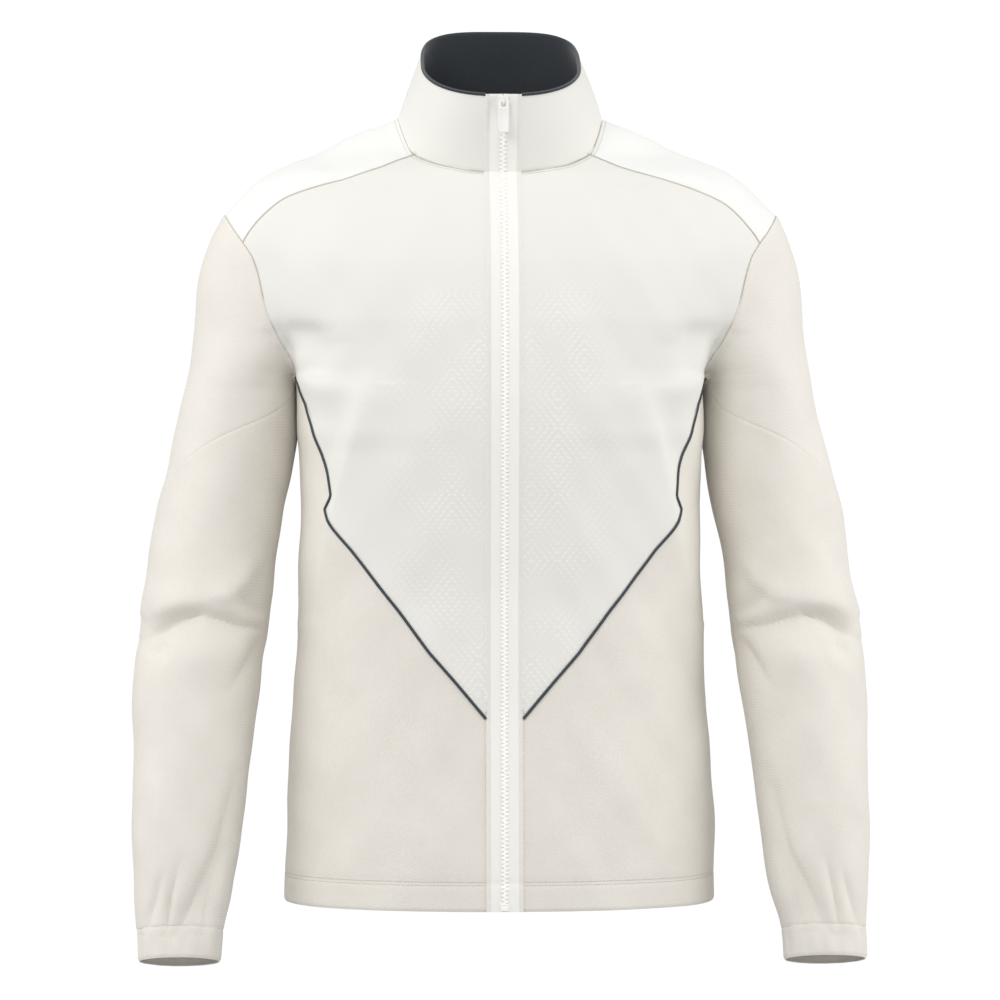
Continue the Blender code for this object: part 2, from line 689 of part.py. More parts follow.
def make_seams():
    """Every shared seam on the +X side, each a line of points."""
    seams = {}
    seams["yoke_front"] = face_seam(-1, YOKE_FRONT, YOKE_ROWS)
    seams["yoke_back"] = face_seam(1, YOKE_BACK, YOKE_ROWS)
    front_end, back_end = seams["yoke_front"][-1], seams["yoke_back"][-1]

    front_turn, back_turn = armhole_turn(front_end), armhole_turn(back_end)
    seams["armhole_top"] = armhole_stretch(front_turn, back_turn, SHOULDER_STEPS)
    seams["armhole_front"] = armhole_stretch(PIPE_TURN - 360, front_turn, ARMHOLE_FRONT_STEPS)
    seams["armhole_back"] = armhole_stretch(back_turn, SIDE_SEAM_TURN, ARMHOLE_FRONT_STEPS)
    seams["underarm"] = armhole_stretch(SIDE_SEAM_TURN, PIPE_TURN, UNDERARM_STEPS)
    seams["yoke_front"][-1] = seams["armhole_top"][0]
    seams["yoke_back"][-1] = seams["armhole_top"][-1]
    seams["armhole_front"][-1] = seams["armhole_top"][0]
    seams["armhole_back"][0] = seams["armhole_top"][-1]

    yoke_front_turn = turn_at(YOKE_FRONT["across"][0], neck_plan_across, 0, 90)
    yoke_back_turn = turn_at(YOKE_BACK["across"][0], neck_plan_across, 90, 180)
    zip_turn = turn_at(ZIP_HALF_WIDTH, neck_plan_across, 0, 90)
    seams["neck_front"] = neck_stretch(zip_turn, yoke_front_turn, NECK_FRONT_STEPS)
    seams["neck_side"] = neck_stretch(yoke_front_turn, yoke_back_turn, SHOULDER_STEPS)
    seams["neck_back"] = neck_stretch(yoke_back_turn, 180, BACK_HALF_STEPS)
    seams["yoke_front"][0] = seams["neck_front"][-1]
    seams["yoke_back"][0] = seams["neck_side"][-1]
    seams["neck_side"][0] = seams["neck_front"][-1]
    seams["neck_back"][0] = seams["neck_side"][-1]

    piped = on_face(-1, [place[0] for place in PIPED_SEAM], [place[1] for place in PIPED_SEAM])
    seams["piped"] = np.vstack([seams["underarm"][-1:], piped])
    seams["underarm"][-1] = seams["armhole_front"][0]
    seams["piped"][0] = seams["armhole_front"][0]

    right = np.vstack([seams["piped"][::-1], seams["armhole_front"][1:], seams["yoke_front"][::-1][1:]])
    v_height, neck_height = seams["piped"][-1][2], seams["neck_front"][0][2]
    part = (right[:, 2] - v_height) / (right[-1, 2] - v_height)
    heights = v_height + np.maximum.accumulate(part) * (neck_height - v_height)
    seams["zip_upper"] = on_face(-1, np.full(len(heights), ZIP_HALF_WIDTH), heights)
    seams["zip_upper"][0] = seams["piped"][-1]
    seams["zip_upper"][-1] = seams["neck_front"][0]
    seams["chest_edge"] = right

    lower = np.linspace(v_height, HEM_HEIGHT, ZIP_LOWER_STEPS + 1)
    seams["zip_lower"] = on_face(-1, np.full(len(lower), ZIP_HALF_WIDTH), lower)
    seams["zip_lower"][0] = seams["piped"][-1]

    left = np.vstack([seams["piped"], seams["zip_lower"][1:]])
    top_height = seams["underarm"][0][2]
    heights = top_height + (left[:, 2] - left[0, 2]) * (HEM_HEIGHT - top_height) / (HEM_HEIGHT - left[0, 2])
    seams["lower_edge"] = left
    seams["side"] = side_seam(heights, seams["underarm"][0])
    return seams


def neck_plan_across(turns):
    power = 2 / NECK_PLAN["squareness"]
    return NECK_PLAN["half_width"] * np.abs(np.sin(np.radians(turns))) ** power


def side_seam(heights, start):
    """The side seam, a little behind the widest line of the torso."""
    y = look_up(SIDE_SEAM, "y", heights)
    share = np.clip((start[2] - heights) / SIDE_SEAM_EASING, 0, 1)
    y = start[1] + (y - start[1]) * share * share * (3 - 2 * share)
    outside = np.stack([np.full(len(heights), BEYOND), y, heights], axis=1)
    inside = np.stack([np.zeros(len(heights)), y, heights], axis=1)
    line = where_line_meets(torso_distance, outside, inside)
    line[0] = start
    return line


def hem_stretch(start, end, steps):
    """The hem from one point of it to another, round the torso."""
    begin = math.atan2(start[0], -start[1])
    finish = math.atan2(end[0], -end[1])
    turn = np.linspace(begin, finish, 20 * steps)
    flat = np.zeros(len(turn))
    outside = np.stack([BEYOND * np.sin(turn), -BEYOND * np.cos(turn), flat + HEM_HEIGHT], axis=1)
    inside = np.stack([flat, flat, flat + HEM_HEIGHT], axis=1)
    return spread(where_line_meets(torso_distance, outside, inside), steps)


def across_the_centre(half):
    """A half line that ends on the centre line, with its mirror image in front of it."""
    return np.vstack([flipped(half), half[::-1][1:]])


def add_fronts(seams):
    top = seams["neck_front"]
    tip = np.repeat(seams["piped"][-1:], len(top), axis=0)
    net = laid_on(body_distance, patch(tip, top, seams["zip_upper"], seams["chest_edge"]))
    outer, inner = walls(body_distance, step_back(net, ("top", "left", "right")))
    add_pair("chest", outer, inner, "chest_knit")

    hem = hem_stretch(seams["zip_lower"][-1], seams["side"][-1], UNDERARM_STEPS)
    net = patch(hem, seams["underarm"][::-1], seams["lower_edge"][::-1], seams["side"][::-1])
    net = laid_on(body_distance, net)
    outer, inner = walls(body_distance, step_back(net, ("top", "left", "right")))
    add_pair("lower_front", outer, inner, "twill_knit")


def add_back(seams):
    hem = hem_stretch(seams["side"][-1], np.array([0.0, 1.0, 0.0]), BACK_HALF_STEPS)
    edge = np.vstack(
        [seams["side"][::-1], seams["armhole_back"][::-1][1:], seams["yoke_back"][::-1][1:]]
    )
    bottom, top = across_the_centre(hem), across_the_centre(seams["neck_back"])
    net = laid_on(body_distance, patch(bottom, top, flipped(edge), edge))
    outer, inner = walls(body_distance, step_back(net, ("top", "left", "right")))
    add_object("back", wall_mesh(outer, inner), "twill_knit")


def add_yokes(seams):
    net = patch(seams["yoke_front"], seams["yoke_back"], seams["neck_side"], seams["armhole_top"])
    net = laid_on(body_distance, net)
    outer, inner = walls(body_distance, step_back(net, ("bottom", "top", "left", "right")))
    add_pair("yoke", outer, inner, "yoke_knit")


def length_along(points):
    gaps = np.linalg.norm(np.diff(points, axis=0), axis=1)
    return np.concatenate([[0], np.cumsum(gaps)])


def loop_degrees(height_of, shares):
    """The angles that divide a sleeve loop's length in the given shares, from its inner side."""
    degrees = np.linspace(0, 360, 1441)
    along = length_along(arm_section(height_of(degrees), degrees))
    turns = np.floor(shares)
    return np.interp(shares - turns, along / along[-1], degrees) + 360 * turns


def add_sleeves(seams):
    order = ("armhole_front", "armhole_top", "armhole_back", "underarm")
    loop = np.vstack([seams[name][:-1] for name in order])
    along = length_along(np.vstack([loop, loop[:1]]))
    lead = length_along(armhole_stretch(270, PIPE_TURN, 8))[-1]
    shares = (along[:-1] + lead) / along[-1]
    seam_degrees = loop_degrees(sleeve_seam_height, shares)
    cuff_degrees = loop_degrees(cuff_level(0), shares)
    seam = arm_section(sleeve_seam_height(seam_degrees), seam_degrees)

    part = np.linspace(0, 1, UPPER_SLEEVE_ROWS + 1)[:, None, None]
    net = loop * (1 - part) + seam * part
    for _ in range(6):
        inside = net[1:-1].reshape(-1, 3)
        net[1:-1] = onto(sleeve_distance, inside, 4).reshape(net[1:-1].shape)
        beside = np.roll(net, 1, axis=1)[1:-1] + np.roll(net, -1, axis=1)[1:-1]
        net[1:-1] = 0.6 * net[1:-1] + 0.1 * (net[:-2] + net[2:] + beside)
    net[1:-1] = onto(sleeve_distance, net[1:-1].reshape(-1, 3)).reshape(net[1:-1].shape)
    outer, inner = walls(sleeve_distance, step_back(net, ("bottom", "top")))
    add_pair("upper_sleeve", outer, inner, "ribbed_knit", closed_columns=True)

    rows = []
    cuff_height = cuff_level(0)(cuff_degrees)
    for part in LOWER_SLEEVE_ROWS:
        degrees = seam_degrees + (cuff_degrees - seam_degrees) * part
        heights = sleeve_seam_height(seam_degrees) * (1 - part) + cuff_height * part
        rows.append(arm_section(heights, degrees))
    outer, inner = walls(arm_distance, step_back(np.array(rows), ("bottom", "top")))
    add_pair("lower_sleeve", outer, inner, "twill_knit", closed_columns=True)

    rows = []
    for part in np.linspace(0, 1, CUFF_ROWS + 1):
        rows.append(arm_section(cuff_level(-CUFF_HEIGHT * part)(cuff_degrees), cuff_degrees))
    outer, inner = walls(arm_distance, step_back(np.array(rows), ("bottom",)))
    add_pair("cuff", outer, inner, "twill_knit", closed_columns=True)


def collar_top_half():
    """The collar's top edge from the zip to the back centre, on the +X side."""
    turn = np.radians(np.linspace(0, 180, 721))
    forwards = np.cos(turn) > 0
    power = 2 / np.where(forwards, COLLAR_TOP["front_squareness"], COLLAR_TOP["back_squareness"])
    across = COLLAR_TOP["half_width"] * np.abs(np.sin(turn)) ** power
    lean = np.sign(np.cos(turn)) * np.abs(np.cos(turn)) ** power
    y = COLLAR_TOP["middle"] - COLLAR_TOP["half_depth"] * lean
    height = COLLAR_TOP["height"] + COLLAR_TOP["rise"] * (y - COLLAR_TOP["middle"])
    line = np.stack([across, y, height], axis=1)
    return line[np.argmax(across >= ZIP_HALF_WIDTH) :]


def net_normals(net):
    """Outward directions of an open net that goes round the centre line."""
    along = np.gradient(net, axis=1)
    up = np.gradient(net, axis=0)
    normals = np.cross(along, up)
    normals /= np.maximum(np.linalg.norm(normals, axis=-1, keepdims=True), 1e-12)
    middle = net.reshape(-1, 3).mean(axis=0)
    if ((net - middle)[..., :2] * normals[..., :2]).sum() < 0:
        normals = -normals
    return normals


def collar_net(seams):
    half = np.vstack([seams["neck_front"], seams["neck_side"][1:], seams["neck_back"][1:]])
    along = length_along(half)
    line = collar_top_half()
    line_along = length_along(line)
    wanted = along / along[-1] * line_along[-1]
    top_half = np.stack([np.interp(wanted, line_along, line[:, axis]) for axis in range(3)], axis=1)
    top_half[-1][0] = 0
    base = np.vstack([half, flipped(half)[::-1][1:]])
    top = np.vstack([top_half, flipped(top_half)[::-1][1:]])
    part = np.linspace(0, 1, COLLAR_ROWS + 1)[:, None, None]
    bulge = COLLAR_BULGE * np.sin(np.pi * part)
    net = base * (1 - part) + top * part
    return net + net_normals(net) * bulge


def add_collar(net):
    normals = net_normals(net)
    outer = step_back(net, ("bottom", "left", "right"))
    rising = shorter_diagonals(net)
    mesh = wall_mesh(outer, outer - normals * WALL, rising=rising)
    add_object("collar_outer", mesh, "chest_knit")

    up = net[-1] - net[-2]
    up /= np.linalg.norm(up, axis=-1, keepdims=True)
    behind = outer - normals * (WALL + SEAM_GAP)
    inside = behind - normals * FACING_WALL
    lip_low, lip_high = up * SEAM_GAP, up * (SEAM_GAP + FACING_LIP)
    outer_side = [*behind[:-1], behind[-1] + lip_low, outer[-1] + lip_low]
    inner_side = [*inside[:-1], inside[-1] + lip_high, outer[-1] + lip_high]
    rising = np.vstack([rising, rising[-1:]])
    mesh = wall_mesh(np.array(outer_side), np.array(inner_side), rising=rising)
    add_object("collar_facing", mesh, "dark_knit")


def swept_mesh(rings):
    """A closed bar: rings[k][i] is corner k of the bar's section at place i along it."""
    corners, places, _ = rings.shape
    mesh = bmesh.new()
    grid = [[mesh.verts.new(rings[k][i]) for i in range(places)] for k in range(corners)]
    for k in range(corners):
        after = (k + 1) % corners
        for i in range(places - 1):
            mesh.faces.new([grid[k][i], grid[after][i], grid[after][i + 1], grid[k][i + 1]])
    mesh.faces.new([grid[k][0] for k in range(corners)][::-1])
    mesh.faces.new([grid[k][-1] for k in range(corners)])
    bmesh.ops.recalc_face_normals(mesh, faces=mesh.faces)
    return mesh


def add_swept_pair(name, rings, finish):
    add_object(name + "_left", swept_mesh(rings), finish)
    add_object(name + "_right", swept_mesh(flipped(rings)), finish)


def add_piping(seams):
    line, normals = folded(body_distance, seams["piped"][PIPING_FIRST:])
    last = line[-2] - line[-1]
    line[-1] += last / np.linalg.norm(last) * PIPING_WIDTH
    run = np.gradient(line, axis=0)
    sideways = np.cross(run, normals)
    sideways /= np.linalg.norm(sideways, axis=1, keepdims=True)
    low, high = line + normals * SEAM_GAP, line + normals * (SEAM_GAP + PIPING_HEIGHT)
    wide, narrow = sideways * PIPING_WIDTH / 2, sideways * PIPING_TOP_WIDTH / 2
    rings = np.array([low - wide, low + wide, high + narrow, high - narrow])
    add_swept_pair("piping", rings, "dark_knit")


def zip_line(seams, collar):
    """The zip's path up the front, and the directions out from it, both on the centre plane."""
    lower = seams["zip_lower"][::-1]
    up = np.vstack([lower, seams["zip_upper"][1:], collar[1:, 0]])
    line, _ = folded(body_distance, up[: len(lower) + len(seams["zip_upper"]) - 1])
    line = np.vstack([line, up[len(line) :]])
    line[:, 0] = 0
    top_way = line[-1] - line[-2]
    line[-1] += top_way / np.linalg.norm(top_way) * (SEAM_GAP + FACING_LIP)
    run = np.gradient(line, axis=0)
    normals = np.stack([np.zeros(len(run)), -run[:, 2], run[:, 1]], axis=1)
    return line, normals / np.linalg.norm(normals, axis=1, keepdims=True)


def strip_rings(line, normals, low_x, high_x, inner, outer):
    """A flat bar along the zip between two distances across and two distances out."""
    rings = []
    for across, out in ((low_x, inner), (high_x, inner), (high_x, outer), (low_x, outer)):
        rings.append(line + normals * out + np.array([across, 0, 0]))
    return np.array(rings)


def point_on_line(line, height):
    """The place on the zip's path at a height, and the directions up it and out from it."""
    place = np.argmax(line[:, 2] >= height)
    before, after = line[place - 1], line[place]
    part = (height - before[2]) / (after[2] - before[2])
    up = (after - before) / np.linalg.norm(after - before)
    return before + (after - before) * part, up, np.array([0, -up[2], up[1]])


def cut_line(line, normals, low, high):
    """The stretch of the zip's path between two heights."""
    inside = (line[:, 2] > low + 0.002) & (line[:, 2] < high - 0.002)
    start, _, start_out = point_on_line(line, low)
    end, _, end_out = point_on_line(line, high)
    kept = np.vstack([[start], line[inside], [end]])
    return kept, np.vstack([[start_out], normals[inside], [end_out]])


def box_rings(centre, up, out, half_width, low, high, back, front):
    """A box on the zip: low to high along it, back to front out from it."""
    rings = []
    for across, away in ((-1, back), (1, back), (1, front), (-1, front)):
        ends = []
        for along in (low, high):
            ends.append(centre + np.array([across * half_width, 0, 0]) + up * along + out * away)
        rings.append(ends)
    return np.array(rings)


def join_to(thing, helper):
    """Unites helper's shape with thing's and removes the helper."""
    joint = thing.modifiers.new("join", "BOOLEAN")
    joint.operation = "UNION"
    joint.object = helper
    bpy.context.view_layer.update()
    graph = bpy.context.evaluated_depsgraph_get()
    united = bpy.data.meshes.new_from_object(thing.evaluated_get(graph))
    thing.modifiers.remove(joint)
    thing.data = united
    bpy.data.objects.remove(helper, do_unlink=True)


def add_zip(line, normals):
    edge, inner_edge = ZIP_HALF_WIDTH - SEAM_GAP / 2, CHAIN_HALF_WIDTH + SEAM_GAP
    rings = strip_rings(line, normals, inner_edge, edge, TAPE_PROUD - WALL, TAPE_PROUD)
    add_swept_pair("zip_tape", rings, "zip_tape")

    boxes = [dict(zip(SLIDER_COLUMNS, row)) for row in SLIDER_BOXES]
    slider_at, up, out = point_on_line(line, SLIDER_HEIGHT)
    chain_top = slider_at[2] + (boxes[0]["low"] - SEAM_GAP) * up[2]
    chain_low = HEM_HEIGHT + BOTTOM_STOP_LENGTH + SEAM_GAP
    back, front = CHAIN_OUT - CHAIN_THICKNESS, CHAIN_OUT
    kept, out_kept = cut_line(line, normals, chain_low, chain_top)
    rings = strip_rings(kept, out_kept, -CHAIN_HALF_WIDTH, CHAIN_HALF_WIDTH, back, front)
    add_object("zip_chain", swept_mesh(rings), "zip_plastic")

    kept, out_kept = cut_line(line, normals, HEM_HEIGHT + STOP_RAISE, chain_low - SEAM_GAP)
    rings = strip_rings(kept, out_kept, -CHAIN_HALF_WIDTH, CHAIN_HALF_WIDTH, back, front)
    add_object("zip_bottom_stop", swept_mesh(rings), "zip_plastic")

    pieces = []
    for box in boxes:
        mesh = swept_mesh(box_rings(slider_at, up, out, **box))
        name = "slider_piece" if pieces else "zip_slider"
        pieces.append(add_object(name, mesh, "zip_plastic"))
    for piece in pieces[1:]:
        join_to(pieces[0], piece)

    add_pull_tab(slider_at + out * TAB["axis_out"])


def add_pull_tab(axis):
    """The tab hangs straight down from its bar, which turns under the slider's arch."""
    hinge = bpy.data.objects.new("pull_tab_hinge", None)
    bpy.context.scene.collection.objects.link(hinge)
    hinge.location = axis
    half, thick = TAB["half_width"], TAB["thickness"] / 2
    slot_half, slot_end, bar = TAB["slot_half_width"], TAB["slot_end"], TAB["bar"]
    outline = [
        (-half, bar),
        (-half, -TAB["length"] + TAB["corner"]),
        (-half + TAB["corner"], -TAB["length"]),
        (half - TAB["corner"], -TAB["length"]),
        (half, -TAB["length"] + TAB["corner"]),
        (half, bar),
    ]
    slot = [(-slot_half, -bar), (slot_half, -bar), (slot_half, -slot_end), (-slot_half, -slot_end)]
    mesh = bmesh.new()
    layers = []
    for y in (-thick, thick):
        layers.append(
            (
                [mesh.verts.new((x, y, z)) for x, z in outline],
                [mesh.verts.new((x, y, z)) for x, z in slot],
            )
        )
    for (rim, hole), turned in zip(layers, (False, True)):
        faces = (
            (rim[0], rim[1], hole[3], hole[0]),
            (rim[1], rim[2], rim[3], rim[4], hole[2], hole[3]),
            (rim[4], rim[5], hole[1], hole[2]),
            (rim[5], rim[0], hole[0], hole[1]),
        )
        for corners in faces:
            mesh.faces.new(corners[::-1] if turned else corners)
    for ring in (0, 1):
        low_ring, high_ring = layers[0][ring], layers[1][ring]
        count = len(low_ring)
        for k in range(count):
            after = (k + 1) % count
            mesh.faces.new([low_ring[k], low_ring[after], high_ring[after], high_ring[k]])
    bmesh.ops.recalc_face_normals(mesh, faces=mesh.faces)
    add_object("zip_pull_tab", mesh, "zip_plastic", parent=hinge)


def make():
    clear_scene()
    seams = make_seams()
    add_fronts(seams)
    add_back(seams)
    add_yokes(seams)
    add_sleeves(seams)
    collar = collar_net(seams)
    add_collar(collar)
    add_piping(seams)
    line, normals = zip_line(seams, collar)
    add_zip(line, normals)


make()
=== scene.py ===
# Full-zip track top, filled out as worn. Metres, +Z up, front towards -Y.
import json
import math

import bmesh
import bpy
import numpy as np
from mathutils import Matrix, Vector


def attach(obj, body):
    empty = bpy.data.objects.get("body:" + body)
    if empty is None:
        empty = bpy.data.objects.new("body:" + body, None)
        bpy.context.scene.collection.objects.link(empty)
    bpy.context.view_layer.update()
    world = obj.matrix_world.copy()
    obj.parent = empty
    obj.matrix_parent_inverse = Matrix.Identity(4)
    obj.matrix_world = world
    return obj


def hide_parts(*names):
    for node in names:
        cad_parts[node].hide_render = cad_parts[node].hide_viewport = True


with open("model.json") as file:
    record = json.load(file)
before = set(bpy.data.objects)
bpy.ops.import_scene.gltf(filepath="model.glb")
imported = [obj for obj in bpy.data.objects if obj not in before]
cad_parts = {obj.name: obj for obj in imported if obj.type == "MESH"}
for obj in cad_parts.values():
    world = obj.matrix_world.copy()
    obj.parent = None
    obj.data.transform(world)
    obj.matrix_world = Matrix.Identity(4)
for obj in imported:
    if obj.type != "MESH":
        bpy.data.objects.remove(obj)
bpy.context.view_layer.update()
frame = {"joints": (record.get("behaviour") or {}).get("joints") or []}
bpy.ops.object.select_all(action="DESELECT")
garment = "garment"

# camera, floor and light
studio = {
    "distance": 3.6,
    "level": -0.324,
    "turn": math.radians(2.0),
    "lens": 144,
    "floorHeight": -0.79,
    "floorSize": 60,
    "softLight": 0.62,  # what reaches the cloth from all round; the backdrop itself stays white
    "floorShare": 0.75,  # of the soft light, sent up again by the floor
    "seenWhite": 1.02,
}


def linear(hexColour):
    parts = [int(hexColour[i : i + 2], 16) / 255 for i in (1, 3, 5)]
    return tuple(p / 12.92 if p <= 0.04045 else ((p + 0.055) / 1.055) ** 2.4 for p in parts) + (1,)


def addNode(tree, kind, settings=None, links=None):
    # settings are the node's own or its sockets' values, and a link from a node takes its first output
    node = tree.nodes.new("ShaderNode" + kind)
    for name, value in (settings or {}).items():
        if isinstance(name, str) and hasattr(node, name):
            setattr(node, name, value)
        else:
            node.inputs[name].default_value = value
    for name, source in (links or {}).items():
        tree.links.new(getattr(source, "outputs", [source])[0], node.inputs[name])
    return node


def makeStudio():
    bpy.ops.object.camera_add()
    camera = bpy.context.object
    turn, far = studio["turn"], studio["distance"]
    camera.location = (-far * math.sin(turn), -far * math.cos(turn), studio["level"])
    camera.rotation_euler = (math.pi / 2, 0, -turn)
    camera.data.lens = studio["lens"]
    bpy.context.scene.camera = camera
    bpy.context.scene.view_settings.view_transform = "Standard"

    world = bpy.data.worlds.new("softStudio")
    bpy.context.scene.world = world
    world.use_nodes = True
    whiteFor(world.node_tree, "Background", studio["softLight"])

    lamps = (
        # name, place, aims at, size, power
        ("keyLight", (-1.7, -2.3, 1.65), (0, 0, -0.20), 1.4, 26),
        ("frontLight", (-0.1, -3.3, -0.1), (0, 0, -0.40), 1.2, 17),
        ("topLight", (-0.2, -1.1, 2.3), (0, 0, -0.10), 1.4, 9),
        ("leftLight", (-2.5, -0.5, 0.1), (0, 0, -0.35), 1.6, 18),
        ("rightLight", (2.5, -0.5, 0.0), (0, 0, -0.40), 1.6, 30),
    )
    for name, place, aim, size, power in lamps:
        bpy.ops.object.light_add(type="AREA", location=place)
        lamp = bpy.context.object
        lamp.name = name
        lamp.data.size = size
        lamp.data.energy = power
        lamp.rotation_euler = (Vector(aim) - Vector(place)).to_track_quat("-Z", "Y").to_euler()

    bpy.ops.mesh.primitive_plane_add(size=studio["floorSize"], location=(0, 0, studio["floorHeight"]))
    floor = bpy.context.object
    floor.name = "studioFloor"
    paint = bpy.data.materials.new("whiteStudioSweep")  # pale and matt, and as white as the backdrop
    paint.use_nodes = True
    whiteFor(paint.node_tree, "Emission", studio["softLight"] * studio["floorShare"])
    floor.data.materials.append(paint)


def whiteFor(tree, kind, light):
    output = [node for node in tree.nodes if "OUTPUT" in node.type][0]
    path = addNode(tree, "LightPath")
    lit = addNode(tree, kind, {"Color": (1, 1, 1, 1), "Strength": light})
    seen = addNode(tree, kind, {"Color": (1, 1, 1, 1), "Strength": studio["seenWhite"]})
    mix = addNode(tree, "MixShader", None, {0: path.outputs["Is Camera Ray"], 1: lit, 2: seen})
    tree.links.new(mix.outputs[0], output.inputs["Surface"])


makeStudio()
print("studio ready")

# the worn form: a torso and two arms, softly joined


def rowsTable(columns, rows):
    return {name: np.array(values) for name, values in zip(columns.split(), zip(*sorted(rows)))}


torso = rowsTable(
    "height halfWidth front back squareness",
    (
        (0.0420, 0.030, 0.004, 0.054, 2.0),
        (0.0350, 0.062, 0.010, 0.066, 2.1),
        (0.0185, 0.0925, 0.021, 0.082, 2.2),
        (0.0072, 0.1235, 0.029, 0.089, 2.2),
        (-0.0036, 0.1490, 0.036, 0.095, 2.2),
        (-0.0144, 0.1760, 0.043, 0.101, 2.2),
        (-0.0252, 0.2010, 0.059, 0.105, 2.2),
        (-0.0360, 0.2150, 0.074, 0.108, 2.2),
        (-0.0600, 0.2270, 0.093, 0.112, 2.3),
        (-0.0900, 0.2290, 0.110, 0.116, 2.4),
        (-0.1200, 0.2220, 0.121, 0.119, 2.5),
        (-0.1530, 0.2130, 0.127, 0.121, 2.5),
        (-0.1800, 0.2030, 0.130, 0.121, 2.5),
        (-0.2000, 0.1920, 0.131, 0.120, 2.5),
        (-0.2124, 0.1838, 0.131, 0.119, 2.5),
        (-0.2250, 0.1826, 0.131, 0.118, 2.5),
        (-0.2620, 0.1820, 0.129, 0.115, 2.5),
        (-0.2850, 0.1803, 0.127, 0.112, 2.4),
        (-0.3500, 0.1800, 0.120, 0.104, 2.4),
        (-0.4200, 0.1812, 0.115, 0.098, 2.3),
        (-0.4900, 0.1853, 0.115, 0.098, 2.3),
        (-0.5600, 0.1895, 0.119, 0.103, 2.3),
        (-0.6300, 0.1926, 0.124, 0.110, 2.3),
        (-0.6820, 0.1932, 0.126, 0.113, 2.3),
    ),
)
arm = rowsTable(
    "height outer inner middle halfDepth squareness",
    (
        (-0.0360, 0.208, 0.165, 0.008, 0.022, 2.0),
        (-0.0495, 0.231, 0.152, 0.008, 0.038, 2.0),
        (-0.0630, 0.2435, 0.146, 0.008, 0.048, 2.0),
        (-0.0765, 0.2527, 0.142, 0.009, 0.055, 2.0),
        (-0.0900, 0.2592, 0.140, 0.010, 0.060, 2.1),
        (-0.1170, 0.2675, 0.140, 0.012, 0.066, 2.1),
        (-0.1440, 0.2712, 0.144, 0.014, 0.070, 2.1),
        (-0.1710, 0.2745, 0.153, 0.017, 0.071, 2.1),
        (-0.1980, 0.2781, 0.172, 0.019, 0.071, 2.1),
        (-0.2124, 0.2805, 0.1822, 0.020, 0.071, 2.1),
        (-0.2250, 0.2826, 0.1838, 0.020, 0.070, 2.1),
        (-0.2620, 0.2906, 0.1842, 0.020, 0.069, 2.1),
        (-0.2925, 0.2976, 0.1877, 0.018, 0.068, 2.1),
        (-0.3330, 0.3087, 0.1953, 0.013, 0.066, 2.1),
        (-0.3870, 0.3150, 0.2043, 0.003, 0.063, 2.1),
        (-0.4140, 0.3200, 0.2061, -0.003, 0.062, 2.1),
        (-0.4410, 0.3227, 0.2079, -0.008, 0.061, 2.1),
        (-0.4680, 0.3255, 0.2132, -0.014, 0.059, 2.1),
        (-0.5220, 0.3270, 0.2205, -0.025, 0.055, 2.1),
        (-0.5760, 0.3265, 0.2268, -0.036, 0.051, 2.1),
        (-0.6300, 0.3255, 0.2335, -0.047, 0.046, 2.1),
        (-0.6700, 0.3245, 0.2400, -0.055, 0.042, 2.1),
        (-0.7030, 0.3222, 0.2478, -0.061, 0.037, 2.1),
        (-0.7400, 0.3200, 0.2510, -0.067, 0.034, 2.1),
    ),
)
softJoin = rowsTable(
    "height width",
    ((0.05, 0.030), (-0.10, 0.030), (-0.16, 0.022), (-0.20, 0.008), (-0.215, 0.004), (-0.24, 0.0)),
)
form = {
    "hem": -0.682,
    "underarm": -0.2135,
    "torsoClosing": 40,
    "armClosing": 200,
    "levelShare": 0.25,
    "fineStep": 0.0004,
    "halvings": 34,
    "middle": 0.008,
    "beyond": 0.4,
    "sideEase": 0.045,  # metres over which the side seam leaves the armhole
}


def curveValue(knots, values, at):
    gaps = np.diff(knots)
    slopes = np.diff(values) / gaps
    before, after = slopes[:-1], slopes[1:]
    together = before * after > 0
    total = np.where(together, before + after, 1.0)
    inner = np.where(together, 2 * before * after / total, 0.0)
    tangents = np.concatenate([slopes[:1], inner, slopes[-1:]])
    place = np.clip(np.searchsorted(knots, at) - 1, 0, len(gaps) - 1)
    part = np.clip((at - knots[place]) / gaps[place], 0, 1)
    level = values[place] * (1 + 2 * part) * (1 - part) ** 2 + values[place + 1] * part**2 * (3 - 2 * part)
    bend = tangents[place] * part * (1 - part) ** 2 + tangents[place + 1] * part**2 * (part - 1)
    return level + gaps[place] * bend


def lookUp(source, name, at):
    knots = next(iter(source.values()))
    return curveValue(knots, source[name], np.asarray(at, float))


def lookUpAll(source, at):
    return {name: lookUp(source, name, at) for name in list(source)[1:]}


def sectionSize(wide, deep, squareness):
    return (np.abs(wide) ** squareness + np.abs(deep) ** squareness + 1e-12) ** (1 / squareness)


def torsoPlace(points):
    height = points[:, 2]
    read = lookUpAll(torso, height)
    depth = np.where(points[:, 1] < 0, read["front"], read["back"])
    over = np.maximum(height - torso["height"][-1], 0) * form["torsoClosing"]
    size = sectionSize(points[:, 0] / read["halfWidth"], points[:, 1] / depth, read["squareness"])
    return size + over, np.hypot(points[:, 0], points[:, 1])


def armPlace(points):
    height = points[:, 2]
    read = lookUpAll(arm, height)
    across = np.abs(points[:, 0]) - (read["outer"] + read["inner"]) / 2
    away = points[:, 1] - read["middle"]
    over = np.maximum(height - arm["height"][-1], 0) * form["armClosing"]
    wide = across / (read["outer"] - read["inner"]) * 2
    size = sectionSize(wide, away / read["halfDepth"], read["squareness"])
    return size + over, np.hypot(across, away)


def slopeOf(function, points):
    step = form["fineStep"]
    parts = [(function(points + axis) - function(points - axis)) / (2 * step) for axis in np.eye(3) * step]
    return np.stack(parts, axis=1)


